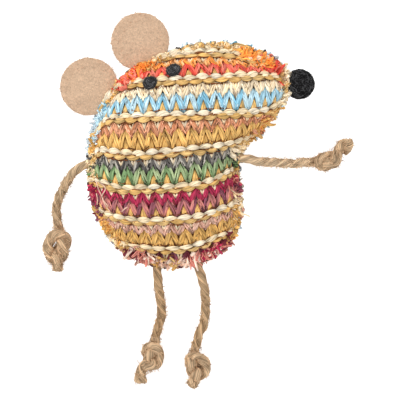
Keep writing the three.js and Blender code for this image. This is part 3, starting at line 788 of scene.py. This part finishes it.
def cushion_rings(inset, thinner, count, lumps):
    """Rings from the front's top over the edge to the back's.

    Each ring is the edge drawn in by an inset and times a share, on the skin less a thickness,
    with lumps of sin * sin that fade towards the edge.
    """
    angle = np.linspace(0, 2 * np.pi, count, endpoint=False)
    share = np.sin(np.linspace(0.02, np.pi / 2, 26)) ** 0.8
    r = share[:, None] * (far_out(angle) - inset)
    x, y = r * np.cos(angle), r * np.sin(angle)
    wave = lumps * np.sin(x / 5.1 + 1) * np.sin(y / 4.3) * (1 - share[:, None] ** 4)
    front = np.maximum(height(x, y, FRONT) - thinner + wave, SEAM + SEAM_GAP)
    back = np.minimum(height(x, y, BACK) + thinner - wave, SEAM - SEAM_GAP)
    back = np.maximum(back, FLOOR_GAP)
    top = np.stack([x, y, front], axis=-1)
    bottom = np.stack([x, y, back], axis=-1)[::-1]
    return np.concatenate([top, bottom])[None]


# Painted shade: a brown body under the straws, for the shade and the backs of strands between them.
under = solid(cushion_rings(inset=-0.4, thinner=1.6, count=200, lumps=0.0), SHADE_BROWN)
cushion = make("cushion_cloth", [under], shade_and_fill, "body", ["front_panel", "back_panel"])
fill = solid(cushion_rings(inset=5.5, thinner=3.2, count=120, lumps=0.5), WADDING_WHITE)
make("stuffing", [fill], shade_and_fill, "body", ["front_wadding", "back_wadding"])
angle = np.linspace(0, 2 * np.pi, 48, endpoint=False)
tilt = np.linspace(0.03, np.pi - 0.03, 28)[:, None]
pouch = np.stack([
    POUCH_RADII[0] * np.sin(tilt) * np.cos(angle),
    POUCH_RADII[1] * np.sin(tilt) * np.sin(angle),
    SEAM + POUCH_RADII[2] * np.cos(tilt) * np.ones_like(angle),
], axis=-1)
make("catnip_pouch", [solid(pouch[None], CATNIP_GREEN)], shade_and_fill, "body", ["catnip_sachet"])

# %% [markdown]
# Where the knit was cut, its straws fray. A particle system could grow them, but its hairs take
# no notice of the stripes. Here tufts of straw ends stand all round the edge, in the colours that
# the photo shows there, some outside the seam and some lying on the front just inside it.

# %% Colours of the frayed edge
# Each stop is a place on the edge in the photo, its one to three colours, how far inside the
# edge its fray begins, and how far it stands out, as a share.
FRAY = [
    (165, 52, "gold cream", 1, 0.1), (175, 48, "cream tan", 0.5, 0.1),
    (185, 46, "cream tan", 1.2, 0.1), (195, 44, "tan cream", 1.7, 0.1),
    (205, 43, "milk tan", 1.9, 0.1), (217, 43, "gold cream", 1.9, 0.1),
    (228, 44, "cream tan", 1.5, 0.1), (239, 47, "cream milk", 1, 0.1),
    # The flame stops are orange painted lighter: painted light on the tufts.
    (250, 51, "flame orange", 6, 0.1), (254, 53, "flame", 6, 0.1), (257, 55, "peach coral", 2, 0.1),
    (264, 58, "flame orange", 6, 0.2), (273, 64, "red coral", 5, 0.3), (279, 68, "red coral", 4, 0.4),
    (284, 71, "tan cream", 3, 0.3), (289, 76, "cream milk", 2, 0.5), (291, 82, "milk cream", 2, 0.6),
    (291, 88, "cream gold", 2, 0.6), (289, 94, "cream milk", 2, 0.5), (286, 100, "sky cream", 1.5, 0.2),
    (283, 106, "tan gold", 3, 0.4), (277, 112, "tan cream", 4, 0.8),
    (270, 119, "terracotta amber", 4, 1), (264, 127, "gold terracotta", 4, 1.2),
    (257, 134, "gold tan", 3, 0.6), (251, 141, "cream tan", 4, 0.5), (246, 147, "cream milk", 5, 0.4),
    (241, 152, "cream milk", 5, 0.4), (240, 158, "slate grey", 2, 0.8),
    (239, 165, "green char", 1, 0.7), (240, 173, "cream gold", 1, 0.9),
    (241, 182, "magenta salmon", 1.5, 0.5), (243, 192, "salmon mauve", 2, 0.6),
    (243, 203, "cream milk", 4, 0.9), (241, 213, "cream milk gold", 3, 0.7),
    (240, 222, "gold amber", 3, 0.6), (237, 232, "gold cream", 1, 0.8), (233, 239, "wine gold", 2, 0.8),
    (228, 245, "salmon wine", 4, 0.8), (222, 251, "salmon magenta", 4, 0.8),
    (215, 256, "crimson blush", 4, 0.7), (208, 261, "crimson wine salmon", 4, 0.7),
    (202, 263, "blush salmon", 4, 0.6), (194, 265, "blush salmon", 3.5, 0.5),
    (185, 267, "blush gold pink", 3.5, 0.3), (172, 268, "blush tan pink", 3.5, 0.2),
    (160, 268, "blush pink", 3.5, 0.2), (153, 266, "blush rose gold", 3.5, 0.5),
    (146, 264, "blush salmon", 4, 0.6), (140, 261, "wine salmon blush", 4, 0.7),
    (134, 258, "salmon blush", 4, 0.7), (129, 254, "wine mauve", 3, 0.6),
    (123, 250, "gold tan", 2, 0.5), (115, 244, "gold cream", 3, 0.5), (104, 232, "gold amber", 2, 0.5),
    (97, 217, "mauve gold", 1, 0.4), (93, 205, "mauve", 1, 0.4), (91, 195, "magenta crimson", 1, 0.5),
    (89, 183, "cream gold", 1, 0.4), (89, 171, "green cream", 1, 0.5), (88, 161, "slate cream", 1, 0.6),
    (88, 150, "gold amber", 2, 0.5), (91, 141, "mist gold", 1.5, 0.3), (93, 134, "sky mist", 1, 0.3),
    (95, 126, "mist sky", 1, 0.3),
    (97, 117, "sky mist", 1, 0.3), (100, 105, "sky blue", 1, 0.4), (103, 96, "cream gold", 0.5, 0.3),
    (108, 88, "cream tan", 0.5, 0.3), (113, 82, "red tan", 0.7, 0.5), (119, 77, "red coral", 1.7, 0.9),
    (126, 71, "orange coral", 4, 0.9), (134, 66, "orange red", 4, 0.4), (143, 62, "orange", 3, 0.3),
    (151, 58, "orange amber", 3, 0.3), (158, 55, "gold cream", 2, 0.2),
]
SNOUT_FRAY = [
    (289, 74, "cream milk", 1, 1), (290, 84, "cream tan", 1, 1), (289, 95, "cream milk", 1, 0.6),
]
BACK_FRAY = [
    (165, 50, "mist cream", 1, 1), (176, 46, "char mist", 1, 1.2), (184, 44, "sky blue char", 1, 0.95),
    (190, 43, "char", 1, 0.3), (197, 42, "sky mist blue", 1, 0.95), (203, 41, "tan", 1, 0.3),
    (210, 40, "sky mist blue", 1, 0.95), (217, 41, "tan", 1, 0.3), (224, 41, "sky mist", 1, 1),
    (232, 42, "sky blue", 1, 0.6), (255, 47, "mist char", 1, 0.5), (270, 54, "wine mist", 1, 0.6),
    (285, 66, "mist tan", 1, 0.8), (291, 85, "mist", 1, 0.6), (280, 110, "mist cream", 1, 0.5),
    (255, 140, "mist cream", 1, 0.6), (242, 160, "mist grey", 1, 0.8), (242, 200, "grey cream", 1, 0.5),
    (238, 232, "mist rose", 1, 1), (205, 262, "rose pink", 1, 0.4), (160, 267, "gold rose", 1, 0.3),
    (125, 256, "rose cream", 1, 0.8), (100, 235, "wine mist", 1, 0.8), (92, 205, "mauve grey", 1, 0.7),
    (87, 180, "cream char", 1, 0.7), (86, 160, "mist char", 1, 0.9), (90, 140, "mist sky", 1, 1),
    (96, 118, "sky mist", 1, 1), (104, 98, "blue mist", 1, 0.8), (122, 74, "red mist", 1, 0.6),
    (148, 58, "mist", 1, 0.5),
]
print("stops:", len(FRAY), "on the front,", len(BACK_FRAY), "on the back")


# %% Tufts of straw
def fray(stops, side, tufts, per_tuft, overhang, lift, spread, arc=(-np.pi, np.pi), raised=0.0,
         broad=(1.0, 2.3)):
    """Tufts of straw ends round the edge.

    A tuft starts some way inside the edge and its straws fan out to an overhang past it: each
    follows start + direction * length * t + bend * t^2 + ripple * sin(2 pi t), to a blunt tip.
    The tufts stand on an arc of the edge, by default all of it, and may start raised. broad is
    the range of the straws' widths. A straw's tint is painted shade, darker at its root among the
    others and lighter towards its tip.
    """
    place = from_pixels([(s[0], s[1]) for s in stops])
    stop_angle = np.arctan2(place[:, 1], place[:, 0])
    names = [s[2].split() for s in stops]
    inside = np.array([s[3] for s in stops])
    stand = np.array([s[4] for s in stops])
    angle = np.linspace(*arc, tufts, endpoint=False) + rng.normal(0, 0.012, tufts)
    shaken = angle[:, None] + rng.normal(0, 0.025, (tufts, 1))
    nearest = np.abs(np.angle(np.exp(1j * (shaken - stop_angle)))).argmin(axis=1)
    depth = 0.3 + inside[nearest] * rng.uniform(0, 1, tufts)
    lean = angle + rng.normal(0, 0.3, tufts)
    choice = [names[k][rng.integers(len(names[k]))] for k in nearest]
    tint = np.array([COLOURS[c] for c in choice])
    t = np.linspace(0, 1, 7)
    many = np.repeat(np.arange(tufts), per_tuft)
    n = len(many)
    r = (far_out(angle) - depth)[many]
    x = r * np.cos(angle[many]) + rng.normal(0, 0.6, n)
    y = r * np.sin(angle[many]) + rng.normal(0, 0.6, n)
    root, normal = skin(x, y, rng.uniform(-0.7, 0.1, n) + raised, side)
    heading = lean[many] + rng.normal(0, spread, n)
    flat = np.stack([np.cos(heading), np.sin(heading), np.zeros(n)], axis=-1)
    way = unit(flat + normal * rng.uniform(lift[0], lift[1], (n, 1)))
    beyond = rng.uniform(overhang[0], overhang[1], n) * stand[nearest[many]]
    size = np.minimum(depth[many] * rng.uniform(0.5, 1, n) + beyond, 4)[:, None, None] + 0.4
    bend = rng.normal(0, 0.35, (n, 1, 3)) * size
    ripple = rng.normal(0, 0.2, (n, 1, 3)) * np.sin(2 * np.pi * t)[:, None]
    line = root[:, None] + way[:, None] * size * t[:, None] + bend * t[:, None] ** 2 + ripple
    up = normal[:, None] + rng.normal(0, 0.5, (n, 1, 3))
    wide = rng.uniform(*broad, (n, 1)) * (1 - 0.35 * t**6)
    level = rng.normal(1.05, 0.13, n)
    tint = tint[many] * level[:, None]
    # Painted shade: each straw darker at its root, lighter towards its tip.
    return sweep(line, up, wide, thick=0.35, sides=5, tint=tint, level=0.8 + 0.35 * t)


straw_piece("frayed_edge", [
    fray(FRAY, FRONT, tufts=330, per_tuft=amount(5), overhang=(0.1, 1.3), lift=(0.0, 0.5), spread=0.7),
    fray(FRAY, FRONT, tufts=200, per_tuft=3, overhang=(0.0, 1.1), lift=(0.3, 1.2), spread=1.1),
    fray(FRAY, FRONT, tufts=220, per_tuft=2, overhang=(0.0, 0.7), lift=(0.0, 0.6), spread=1.3,
         raised=0.3, broad=(2.2, 3.8)),
    fray(SNOUT_FRAY, FRONT, tufts=16, per_tuft=amount(6), overhang=(0.8, 2.0), lift=(0.8, 1.6),
         spread=0.4, arc=(0.4, 0.62), raised=1.0),
])
straw_piece("frayed_edge_back", [
    fray(BACK_FRAY, BACK, tufts=240, per_tuft=amount(7), overhang=(0.3, 2.0), lift=(0.0, 0.4),
         spread=0.4),
])

# %% [markdown]
# A few loose threads of pale pink straw lie on the belly's left side, and a cream end sticks out
# at the right. They could be drawn as curves on the camera's view, but then they'd float when the
# toy is seen from the side. So each is a strand through points of the photo laid on the skin.

# %% Stray threads
THREADS = [
    [(98, 179), (99.9, 187.5), (102.9, 194), (106.7, 203.7), (112, 211.3)],
    [(97.5, 193), (98.5, 199), (98, 205)],
    [(123, 211), (126, 208), (128.4, 206.4)],
    [(101, 182), (107, 188), (104, 197), (110, 206)],
    [(240, 213), (245, 214.5), (250, 216.5)],
]
THREAD_LIFT = 1.0
threads = []
for points, name in zip(THREADS, ["pink"] * 4 + ["cream"]):
    flat = from_pixels(points)
    line = skin(flat[:, 0], flat[:, 1], np.full(len(flat), THREAD_LIFT), FRONT)[0]
    line = open_curve(line, 24)[None]
    threads.append(sweep(line, [0, 0, 1.0], width=0.6, thick=0.4, sides=6, tint=COLOURS[name]))
straw_piece("stray_threads", threads)

# %% [markdown]
# Ears and eyes are cut from felt. A cylinder with a bevel could make such a disc, but felt has a
# soft rim that wanders a little, so a disc is rings from its middle over the rim and back, with
# fuzz on it. Each ear has a tab sewn into the seam, and bends where it leaves the edge.


# %% Felt discs and fuzz
def felt_disc(far, thickness):
    """Rings of a disc lying flat: top from the middle to the rim, round the rim, and back.

    far is the radius in each direction. A share r of the way out, the height is
    thickness/2 * (1 - r^10)^0.5, and the rim wanders a little.
    """
    angle = np.linspace(0, 2 * np.pi, len(far), endpoint=False)
    share = np.sin(np.linspace(0.03, np.pi / 2, 30))
    tall = thickness / 2 * np.sqrt(np.clip(1 - share**10, 0.0, 1))
    share = np.concatenate([share, share[::-1]])
    tall = np.concatenate([tall, -tall[::-1]])
    rim = 1 + 0.004 * np.sin(7 * angle + 1) + 0.003 * np.sin(13 * angle) + 0.002 * np.sin(29 * angle)
    r = share[:, None] * (far * rim)
    return np.stack([r * np.cos(angle), r * np.sin(angle), tall[:, None] + 0 * r], axis=-1)


def fuzz(roots, out, length, width, tint, curl=0.5):
    """Short hairs, each root + way * size * t + bend * t^2, with a random way near out."""
    n = len(roots)
    t = np.linspace(0, 1, 4)[None, :, None]
    way = unit(out + rng.normal(0, 0.7, (n, 3)))
    size = rng.uniform(0.4, 1.0, (n, 1, 1)) * length
    bend = rng.normal(0, curl, (n, 1, 3)) * size
    line = roots[:, None] + way[:, None] * size * t + bend * t**2
    up = np.cross(way, rng.normal(0, 1, (n, 3)))[:, None] + np.zeros((n, 4, 3))
    return sweep(line, up, width * (1 - 0.6 * t[..., 0]), width, sides=4, tint=tint)


# %% Ears
EAR_RADIUS = 13.6
EAR_REACH = 9.65
EAR_THICKNESS = 1.25
EAR_WAVE = 0.35
TAB_END = 15.6
TAB_HALF_WIDTH = 7
EAR_HAIRS = amount(1600)
EAR_TURNS = {"left_ear": 144, "right_ear": 117}
direction = np.linspace(0, 2 * np.pi, 180, endpoint=False)
tab_end = TAB_END / np.maximum(-np.cos(direction), 1e-3)
tab_side = TAB_HALF_WIDTH / np.maximum(abs(np.sin(direction)), 1e-3)
tab = np.maximum(np.minimum(tab_end, tab_side), EAR_RADIUS)
rings = felt_disc(np.where(np.cos(direction) < 0, tab, EAR_RADIUS), EAR_THICKNESS)
rings[..., 0] += EAR_REACH
outside = np.clip(rings[..., 0] / 8, 0, 1)
rings[..., 2] += outside * EAR_WAVE * np.sin(rings[..., 0] / 6 + 1) * np.cos(rings[..., 1] / 7)
for name, degrees in EAR_TURNS.items():
    turn = np.radians(degrees)
    matrix = np.array([[np.cos(turn), -np.sin(turn), 0], [np.sin(turn), np.cos(turn), 0], [0, 0, 1]])
    hinge = joint_places[name]
    parts = [solid((rings @ matrix.T + hinge)[None], COLOURS["felt"])]
    pick_ring = rng.integers(12, 48, EAR_HAIRS)
    roots = rings[pick_ring, rng.integers(0, 180, EAR_HAIRS)]
    out = roots - np.array([EAR_REACH, 0, 0])
    out[:, 2] = np.sign(out[:, 2]) * 2.0
    out = unit(out)
    hairy = roots[:, 0] > 2
    pale = COLOURS["felt"] * rng.normal(1.05, 0.1, (int(hairy.sum()), 1))
    roots, out = roots[hairy] @ matrix.T + hinge, out[hairy] @ matrix.T
    parts.append(fuzz(roots, out, length=1.0, width=0.1, tint=pale))
    ear = make(name + "_felt", parts, felt, None, [name, name + "_tab"])
    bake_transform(ear)

# %% Eyes
EYE_RADIUS = 3.42
EYE_THICKNESS = 1.3
EYE_LIFT = 0.95
EYE_HAIRS = 500
SCRATCHES = 20
EYES = {"left_eye": (-0.089, 0.299), "right_eye": (0.030, 0.356)}
rings = felt_disc(np.full(72, EYE_RADIUS), EYE_THICKNESS)
rings[..., 2] += 0.12 * np.sin(rings[..., 0] * 2.1) * np.cos(rings[..., 1] * 1.7)
for name, shares in EYES.items():
    x, y = np.array(shares) * BODY_SIZE
    place, normal = skin(np.array(x), np.array(y), np.array(EYE_LIFT), FRONT)
    side_way = unit(np.cross([0, 1, 0], normal))
    axes = np.stack([side_way, np.cross(normal, side_way), normal])
    parts = [solid((rings @ axes + place)[None], COLOURS["ink"])]
    pick = rng.integers(0, 72, EYE_HAIRS)
    roots = rings[rng.integers(0, 34, EYE_HAIRS), pick]
    out = np.stack([roots[:, 0] * 0.3, roots[:, 1] * 0.3, np.full(EYE_HAIRS, 0.6)], axis=-1)
    dark = blend_tints(COLOURS["ink"], COLOURS["ash"], rng.beta(0.3, 1.5, EYE_HAIRS))
    roots, out = roots @ axes + place, out @ axes
    parts.append(fuzz(roots, out, length=0.45, width=0.12, tint=dark, curl=0.9))
    begin = rng.uniform(0, 2 * np.pi, (SCRATCHES, 1))
    share = rng.uniform(0.15, 0.85, (SCRATCHES, 1))
    at = begin + rng.uniform(0.4, 1.8, (SCRATCHES, 1)) * np.linspace(0, 1, 12) / (0.4 + share)
    far = EYE_RADIUS * share + 0.25 * np.sin(3 * at)
    line = np.stack([far * np.cos(at), far * np.sin(at), 0 * at + 0.72], axis=-1)
    pale = COLOURS["ash"] * rng.uniform(0.5, 2.2, (SCRATCHES, 1))
    parts.append(sweep(line @ axes + place, normal, width=0.2, thick=0.16, sides=6, tint=pale))
    make(name + "_felt", parts, felt, "body", [name])

# %% [markdown]
# The nose is a pompom of black wool. A hair system could cover a ball, but the fibres of this one
# lie flat and curled rather than stand up. So a rough core is wrapped in fibres that each run a
# short way round it, at a place + way * sin along an arc, and rise a little in the middle.

# %% Pompom nose
NOSE = np.array([61.839, 30.967, SEAM])
NOSE_CORE = 6.5
NOSE_FIBRES = amount(2400)
angle = np.linspace(0, 2 * np.pi, 72, endpoint=False)
tilt = np.linspace(0.04, np.pi - 0.04, 44)[:, None]
bumpy = NOSE_CORE * (1 + 0.03 * np.sin(9 * tilt + 2 * np.sin(5 * angle)) * np.cos(8 * angle))
ball = np.stack([
    bumpy * np.sin(tilt) * np.cos(angle),
    bumpy * np.sin(tilt) * np.sin(angle),
    bumpy * np.cos(tilt) * np.ones_like(angle),
], axis=-1)
core = solid((ball + NOSE)[None], COLOURS["ink"])
start = unit(rng.normal(0, 1, (NOSE_FIBRES, 3)))
way = unit(np.cross(start, rng.normal(0, 1, (NOSE_FIBRES, 3))))
t = np.linspace(0, 1, 7)
arc = t * rng.uniform(0.25, 0.75, (NOSE_FIBRES, 1))
sway = rng.normal(0, 0.25, (NOSE_FIBRES, 1)) * np.sin(3 * t)
swing = np.cross(start, way)[:, None] * sway[..., None]
aim = start[:, None] * np.cos(arc)[..., None] + way[:, None] * np.sin(arc)[..., None] + swing
aim = unit(aim)
far = rng.uniform(6.4, 6.75, (NOSE_FIBRES, 1))
far = far + rng.uniform(0.1, 0.55, (NOSE_FIBRES, 1)) * np.sin(np.pi * t)
# Painted highlights: about a third of the fibres are painted grey, and a few paler still, for the sheen
# on the black wool.
pick = rng.uniform(0, 1, (NOSE_FIBRES, 1))
grey = np.where(pick < 0.35, COLOURS["ash"] * np.where(pick < 0.02, 1.8, 1), COLOURS["ink"])
grey = grey * rng.uniform(0.6, 1.3, (NOSE_FIBRES, 1))
fibres = sweep(NOSE + aim * far[..., None], aim, width=0.2, thick=0.2, sides=4, tint=grey)
make("nose_pompom", [core, fibres], wool, "body", ["nose_ball"])

# %% [markdown]
# Each limb is a jute rope of three plies twisted together. It leaves the seam, drops to the floor
# and ends in an overhand knot. Three strands could be wound round each other, but they would cut
# through one another where the knot is tight. So a rope is one body whose section has three lobes
# and turns as it goes along, with loose fibres on it. The free stretch is a mesh of its own, and
# the knot and the fibres are attached to the limb.

# %% Ropes
ROPE = 4.2
ROPE_LAY = 21.0
ROUTE_REACH = 36.0
ROPE_GAP = 0.03
HAIR_GAP = 0.06
ROPE_PLACES = 90
KNOT_PLACES = 300
TAIL_PLACES = 30
KNOT_LOOSENESS = 1.18
UP = np.array([0, 0, 1.0])
IN_PLANE = np.array([1.0, 1, 0])
KNOT = np.array([
    [0, 2.1, 0.53], [0, 1.6, 0.53], [0, 1.1, 0.66], [-0.35, 0.15, 1.45], [-0.5, -0.8, 1.05],
    [0.2, -1.25, 0.55], [1.05, -0.75, 0.85], [1.05, 0.35, 1.25], [0.2, 1.05, 1.5], [-0.95, 0.8, 1.1],
    [-0.95, 0, 0.62], [-0.2, -0.15, 0.55], [0.25, -0.65, 1], [0.2, -1.25, 1.5],
])
# Each limb: its route from where it leaves the edge, in shares of the reach and of the fall to
# the floor, its knot's width, length, distance aside of the rope and hand, its tail, how far the
# tail's end spreads, and how much lighter or darker its jute is painted in red, green and blue:
# painted light and shade for how each rope lies in the light.
LIMBS = {
    "left_arm": (
        [[0, 0, 0], [-0.12, -0.054, 0.07], [-0.225, -0.165, 0.27], [-0.303, -0.302, 0.53],
         [-0.384, -0.461, 0.82], [-0.407, -0.619, 0.98], [-0.39, -0.76, 1]],
        (0.95, 1.22, -0.3, -1), [[0.25, -1.7, 1.2], [0.3, -2.05, 0.9]], 1.0, (0.91, 0.93, 0.93),
    ),
    "right_arm": (
        [[0, 0, 0], [0.122, -0.025, 0.06], [0.256, -0.053, 0.24], [0.4, -0.061, 0.5],
         [0.572, -0.072, 0.8], [0.706, -0.078, 0.97], [0.83, -0.063, 1], [0.93, -0.058, 1]],
        (0.45, 0.8, 0, 1), [[2.15, -1.6, 1.3], [3.9, -2.3, 1], [3.3, -3.2, 0.72]], 1.7,
        (1.19, 1.26, 1.32),
    ),
    "left_leg": (
        [[0, 0, 0], [0.006, -0.128, 0.06], [0.019, -0.261, 0.25], [0.042, -0.417, 0.54],
         [0.055, -0.54, 0.8], [0.043, -0.66, 0.97], [-0.001, -0.79, 1], [-0.025, -0.914, 1]],
        (0.66, 0.88, 0, 1), [[-1.07, -1.5, 1.2], [-1.3, -2.6, 0.75], [-1.2, -3.6, 0.55]], 1.25,
        (0.86, 0.81, 0.73),
    ),
    "right_leg": (
        [[0, 0, 0], [0.033, -0.111, 0.05], [0.075, -0.261, 0.26], [0.094, -0.417, 0.54],
         [0.094, -0.614, 0.88], [0.069, -0.769, 1], [0.022, -0.86, 1], [-0.01, -0.97, 1],
         [-0.035, -1.077, 1]],
        (0.87, 0.85, 0.6, 1), [[0.1, -1.75, 1.25], [0, -2.6, 0.75]], 1.15, (0.86, 0.83, 0.77),
    ),
}


def rope(line, begin, level, light):
    """Three plies in one body: a section with three lobes that turns as it goes along.

    It turns once in each lay, is as thick as the rope times a level along it, give or take a
    little, and rests on the floor. Its tint is painted shade in the grooves between the plies, and
    times light, the rope's painted light and shade.
    """
    steps = np.linalg.norm(np.diff(line, axis=0), axis=1)
    walked = begin + np.concatenate([[0], np.cumsum(steps)])
    turn = (2 * np.pi * walked / ROPE_LAY)[None]
    level = np.interp(np.linspace(0, 1, len(line)), np.linspace(0, 1, np.size(level)), np.ravel(level))
    fat = 1.07 + 0.03 * np.sin(walked * 1.3) + 0.03 * np.sin(walked * 0.71 + 2)
    width = ROPE * fat[None] * level
    # Painted shade: the tint darkens in the grooves between the three plies.
    made = sweep(line[None], UP, width, width, sides=36, tint=COLOURS["jute"] * light, turn=turn,
                 lobes=3, dent=0.16, shade=2.2)
    made["points"][:, 2] = np.maximum(made["points"][:, 2], ROPE_GAP)
    return made, walked[-1]


def rope_hairs(line, count, length, spread, near, lift, light):
    """Loose fibres from a rope's surface, mostly along it, some paler and some browner.

    A root is line + round * rope * lift, with round a random way square to the line, and a hair
    starts along the line, forwards or backwards, plus round * spread. None is nearer to the
    line's start than a share of it.
    """
    along, across, out = frames(line[None], UP)
    at = rng.integers(int(near * len(line)), len(line), count)
    f = rng.uniform(0, 2 * np.pi, count)[:, None]
    round_way = across[0, at] * np.cos(f) + out[0, at] * np.sin(f)
    roots = line[at] + round_way * ROPE * lift
    way = along[0, at] * np.where(rng.uniform(0, 1, (count, 1)) < 0.5, 1, -1)
    way = way + round_way * spread
    share = rng.uniform(-0.8, 1.4, count)
    tint = blend_tints(COLOURS["jute"], COLOURS["bark"], share) * light
    made = fuzz(roots, way, length, width=0.2, tint=tint, curl=0.2)
    made["points"][:, 2] = np.maximum(made["points"][:, 2], HAIR_GAP)
    return made


def knot_line(end, heading, shares, tail):
    """The knot's line, starting at a rope's end and heading.

    A point of the shape lies (first's way - its own) * length ahead and its side * width * hand
    aside, in rope thicknesses, and from the third point on the knot also moves aside as a whole.
    """
    width, length, offset, hand = shares
    aside = np.array([-heading[1], heading[0], 0])
    shape = np.vstack([KNOT, tail])
    settled = np.clip((np.arange(len(shape)) - 2) / 2, 0, 1)[:, None]
    ahead = (KNOT[0, 1] - shape[:, 1:2]) * length * ROPE * heading
    beside = (shape[:, :1] * width * hand + offset * settled) * ROPE * aside
    tall = shape[:, 2:] * KNOT_LOOSENESS * ROPE * UP
    return open_curve((end + heading * 0.3) * IN_PLANE + ahead + beside + tall, KNOT_PLACES)


# %% Limbs
HAIRS = amount(420)
for name, (route, knot, tail, splay, light) in LIMBS.items():
    light = np.array(light)
    leave_at = joint_places[name]
    route = np.array(route) * [ROUTE_REACH, ROUTE_REACH, -(SEAM - ROPE / 2)] + leave_at
    inward = unit((route[0] - route[1]) * IN_PLANE)
    path = open_curve(np.vstack([leave_at + inward * 2, route]), ROPE_PLACES)
    # Painted light and shade: each rope's jute tint is scaled by its own light.
    made, walked = rope(path, begin=0.0, level=1.0, light=light)
    cord = make(name + "_rope", [made], jute, None, [name + "_cord"])
    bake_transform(cord)
    root_line = open_curve([leave_at + inward * 12, leave_at + inward * 6, leave_at + inward], 24)
    root = rope(root_line, begin=5.0, level=0.98, light=light)[0]
    make(name + "_root", [root], jute, "body", [name + "_anchor"])
    heading = unit((route[-1] - route[-2]) * IN_PLANE)
    knot_path = knot_line(route[-1], heading, knot, tail)
    knot_path = np.vstack([path[-1] - heading * 0.4, knot_path[2:]])
    loosened = np.array([1.0] + [KNOT_LOOSENESS] * 14 + [KNOT_LOOSENESS * splay])
    parts = [
        rope(knot_path, walked, loosened, light=1.02)[0],
        rope_hairs(knot_path, 2 * HAIRS, length=2.6, spread=0.2, near=0.0, lift=0.56, light=0.95),
        rope_hairs(knot_path[-TAIL_PLACES:], 90, length=3.5, spread=0.3, near=0.0, lift=0.5, light=0.95),
    ]
    knot_piece = make(name + "_tied_knot", parts, jute, name, [name + "_knot"])
    loose = [
        rope_hairs(path, HAIRS, length=2.6, spread=0.1, near=0.28, lift=0.44, light=1.07 * light),
        rope_hairs(path, 60, length=3.0, spread=0.6, near=0.3, lift=0.4, light=1.07 * light),
    ]
    strays = make(name + "_fibres", loose, jute, name)

# %% [markdown]
# The photo was taken on white paper in soft daylight, with one large window at the upper left. A
# picture of a sky could light it, but a plain white sky and one wide lamp give the same even
# light and faint shadows. The camera looks straight down from far off, so that nothing leans
# outwards, and its picture is as wide as the photo's at the height of the seam.


# %% Table, light and camera
def stage_object(name, data, place=(0, 0, 0)):
    """An object that is only there for the picture."""
    made = bpy.data.objects.new(name, data)
    bpy.context.scene.collection.objects.link(made)
    made.location = place
    return made


PICTURE_PIXELS = 400
CAMERA_AWAY = 4000
SENSOR_WIDTH = 36
bpy.ops.mesh.primitive_plane_add(size=3, location=(0, 0, 0))
floor = bpy.context.object
floor.name = "table"
paper, tree, shader = new_material("white_paper", 0.9, 0.1)
grain = use_group(tree, "fluff", {"Fine": 700, "Coarse": 60})
tone = node(
    tree, "ShaderNodeMix",
    {0: grain.outputs["Fluff"], 6: (0.93, 0.93, 0.93, 1), 7: (0.96, 0.96, 0.96, 1)},
    data_type="RGBA",
)
tree.links.new(tone.outputs[2], shader.inputs["Base Color"])
rays = node(tree, "ShaderNodeLightPath")
seen = node(tree, "ShaderNodeMath", {0: rays.outputs["Is Camera Ray"], 1: 0.75}, operation="MULTIPLY")
shader.inputs["Emission Color"].default_value = (1, 1, 1, 1)
tree.links.new(seen.outputs[0], shader.inputs["Emission Strength"])
floor.data.materials.append(paper)

world = bpy.data.worlds.new("soft_sky")
bpy.context.scene.world = world
world.use_nodes = True
sky = world.node_tree.nodes["Background"]
sky.inputs["Color"].default_value = (1, 1, 1, 1)
sky.inputs["Strength"].default_value = 0.78

lamp_data = bpy.data.lights.new("window", "AREA")
lamp_data.energy = 3.6
lamp_data.size = 0.7
towards = stage_object("window", lamp_data, (-0.6, 0.5, 0.8)).constraints.new("TRACK_TO")
towards.target = stage_object("lamp_aim", None)
towards.track_axis = "TRACK_NEGATIVE_Z"
towards.up_axis = "UP_Y"

camera_data = bpy.data.cameras.new("camera")
camera_data.lens = SENSOR_WIDTH * CAMERA_AWAY / (PICTURE_PIXELS * PIXEL)
camera_data.clip_end = 10
camera_data.dof.use_dof = False
camera = bpy.data.objects.new("camera", camera_data)
bpy.context.scene.collection.objects.link(camera)
middle = from_pixels((PICTURE_PIXELS / 2, PICTURE_PIXELS / 2))
camera.location = np.array([*middle, CAMERA_AWAY + SEAM]) * 0.001
bpy.context.scene.camera = camera
bpy.context.scene.view_settings.view_transform = "Standard"
print("camera lens", camera_data.lens, "at", list(camera.location))
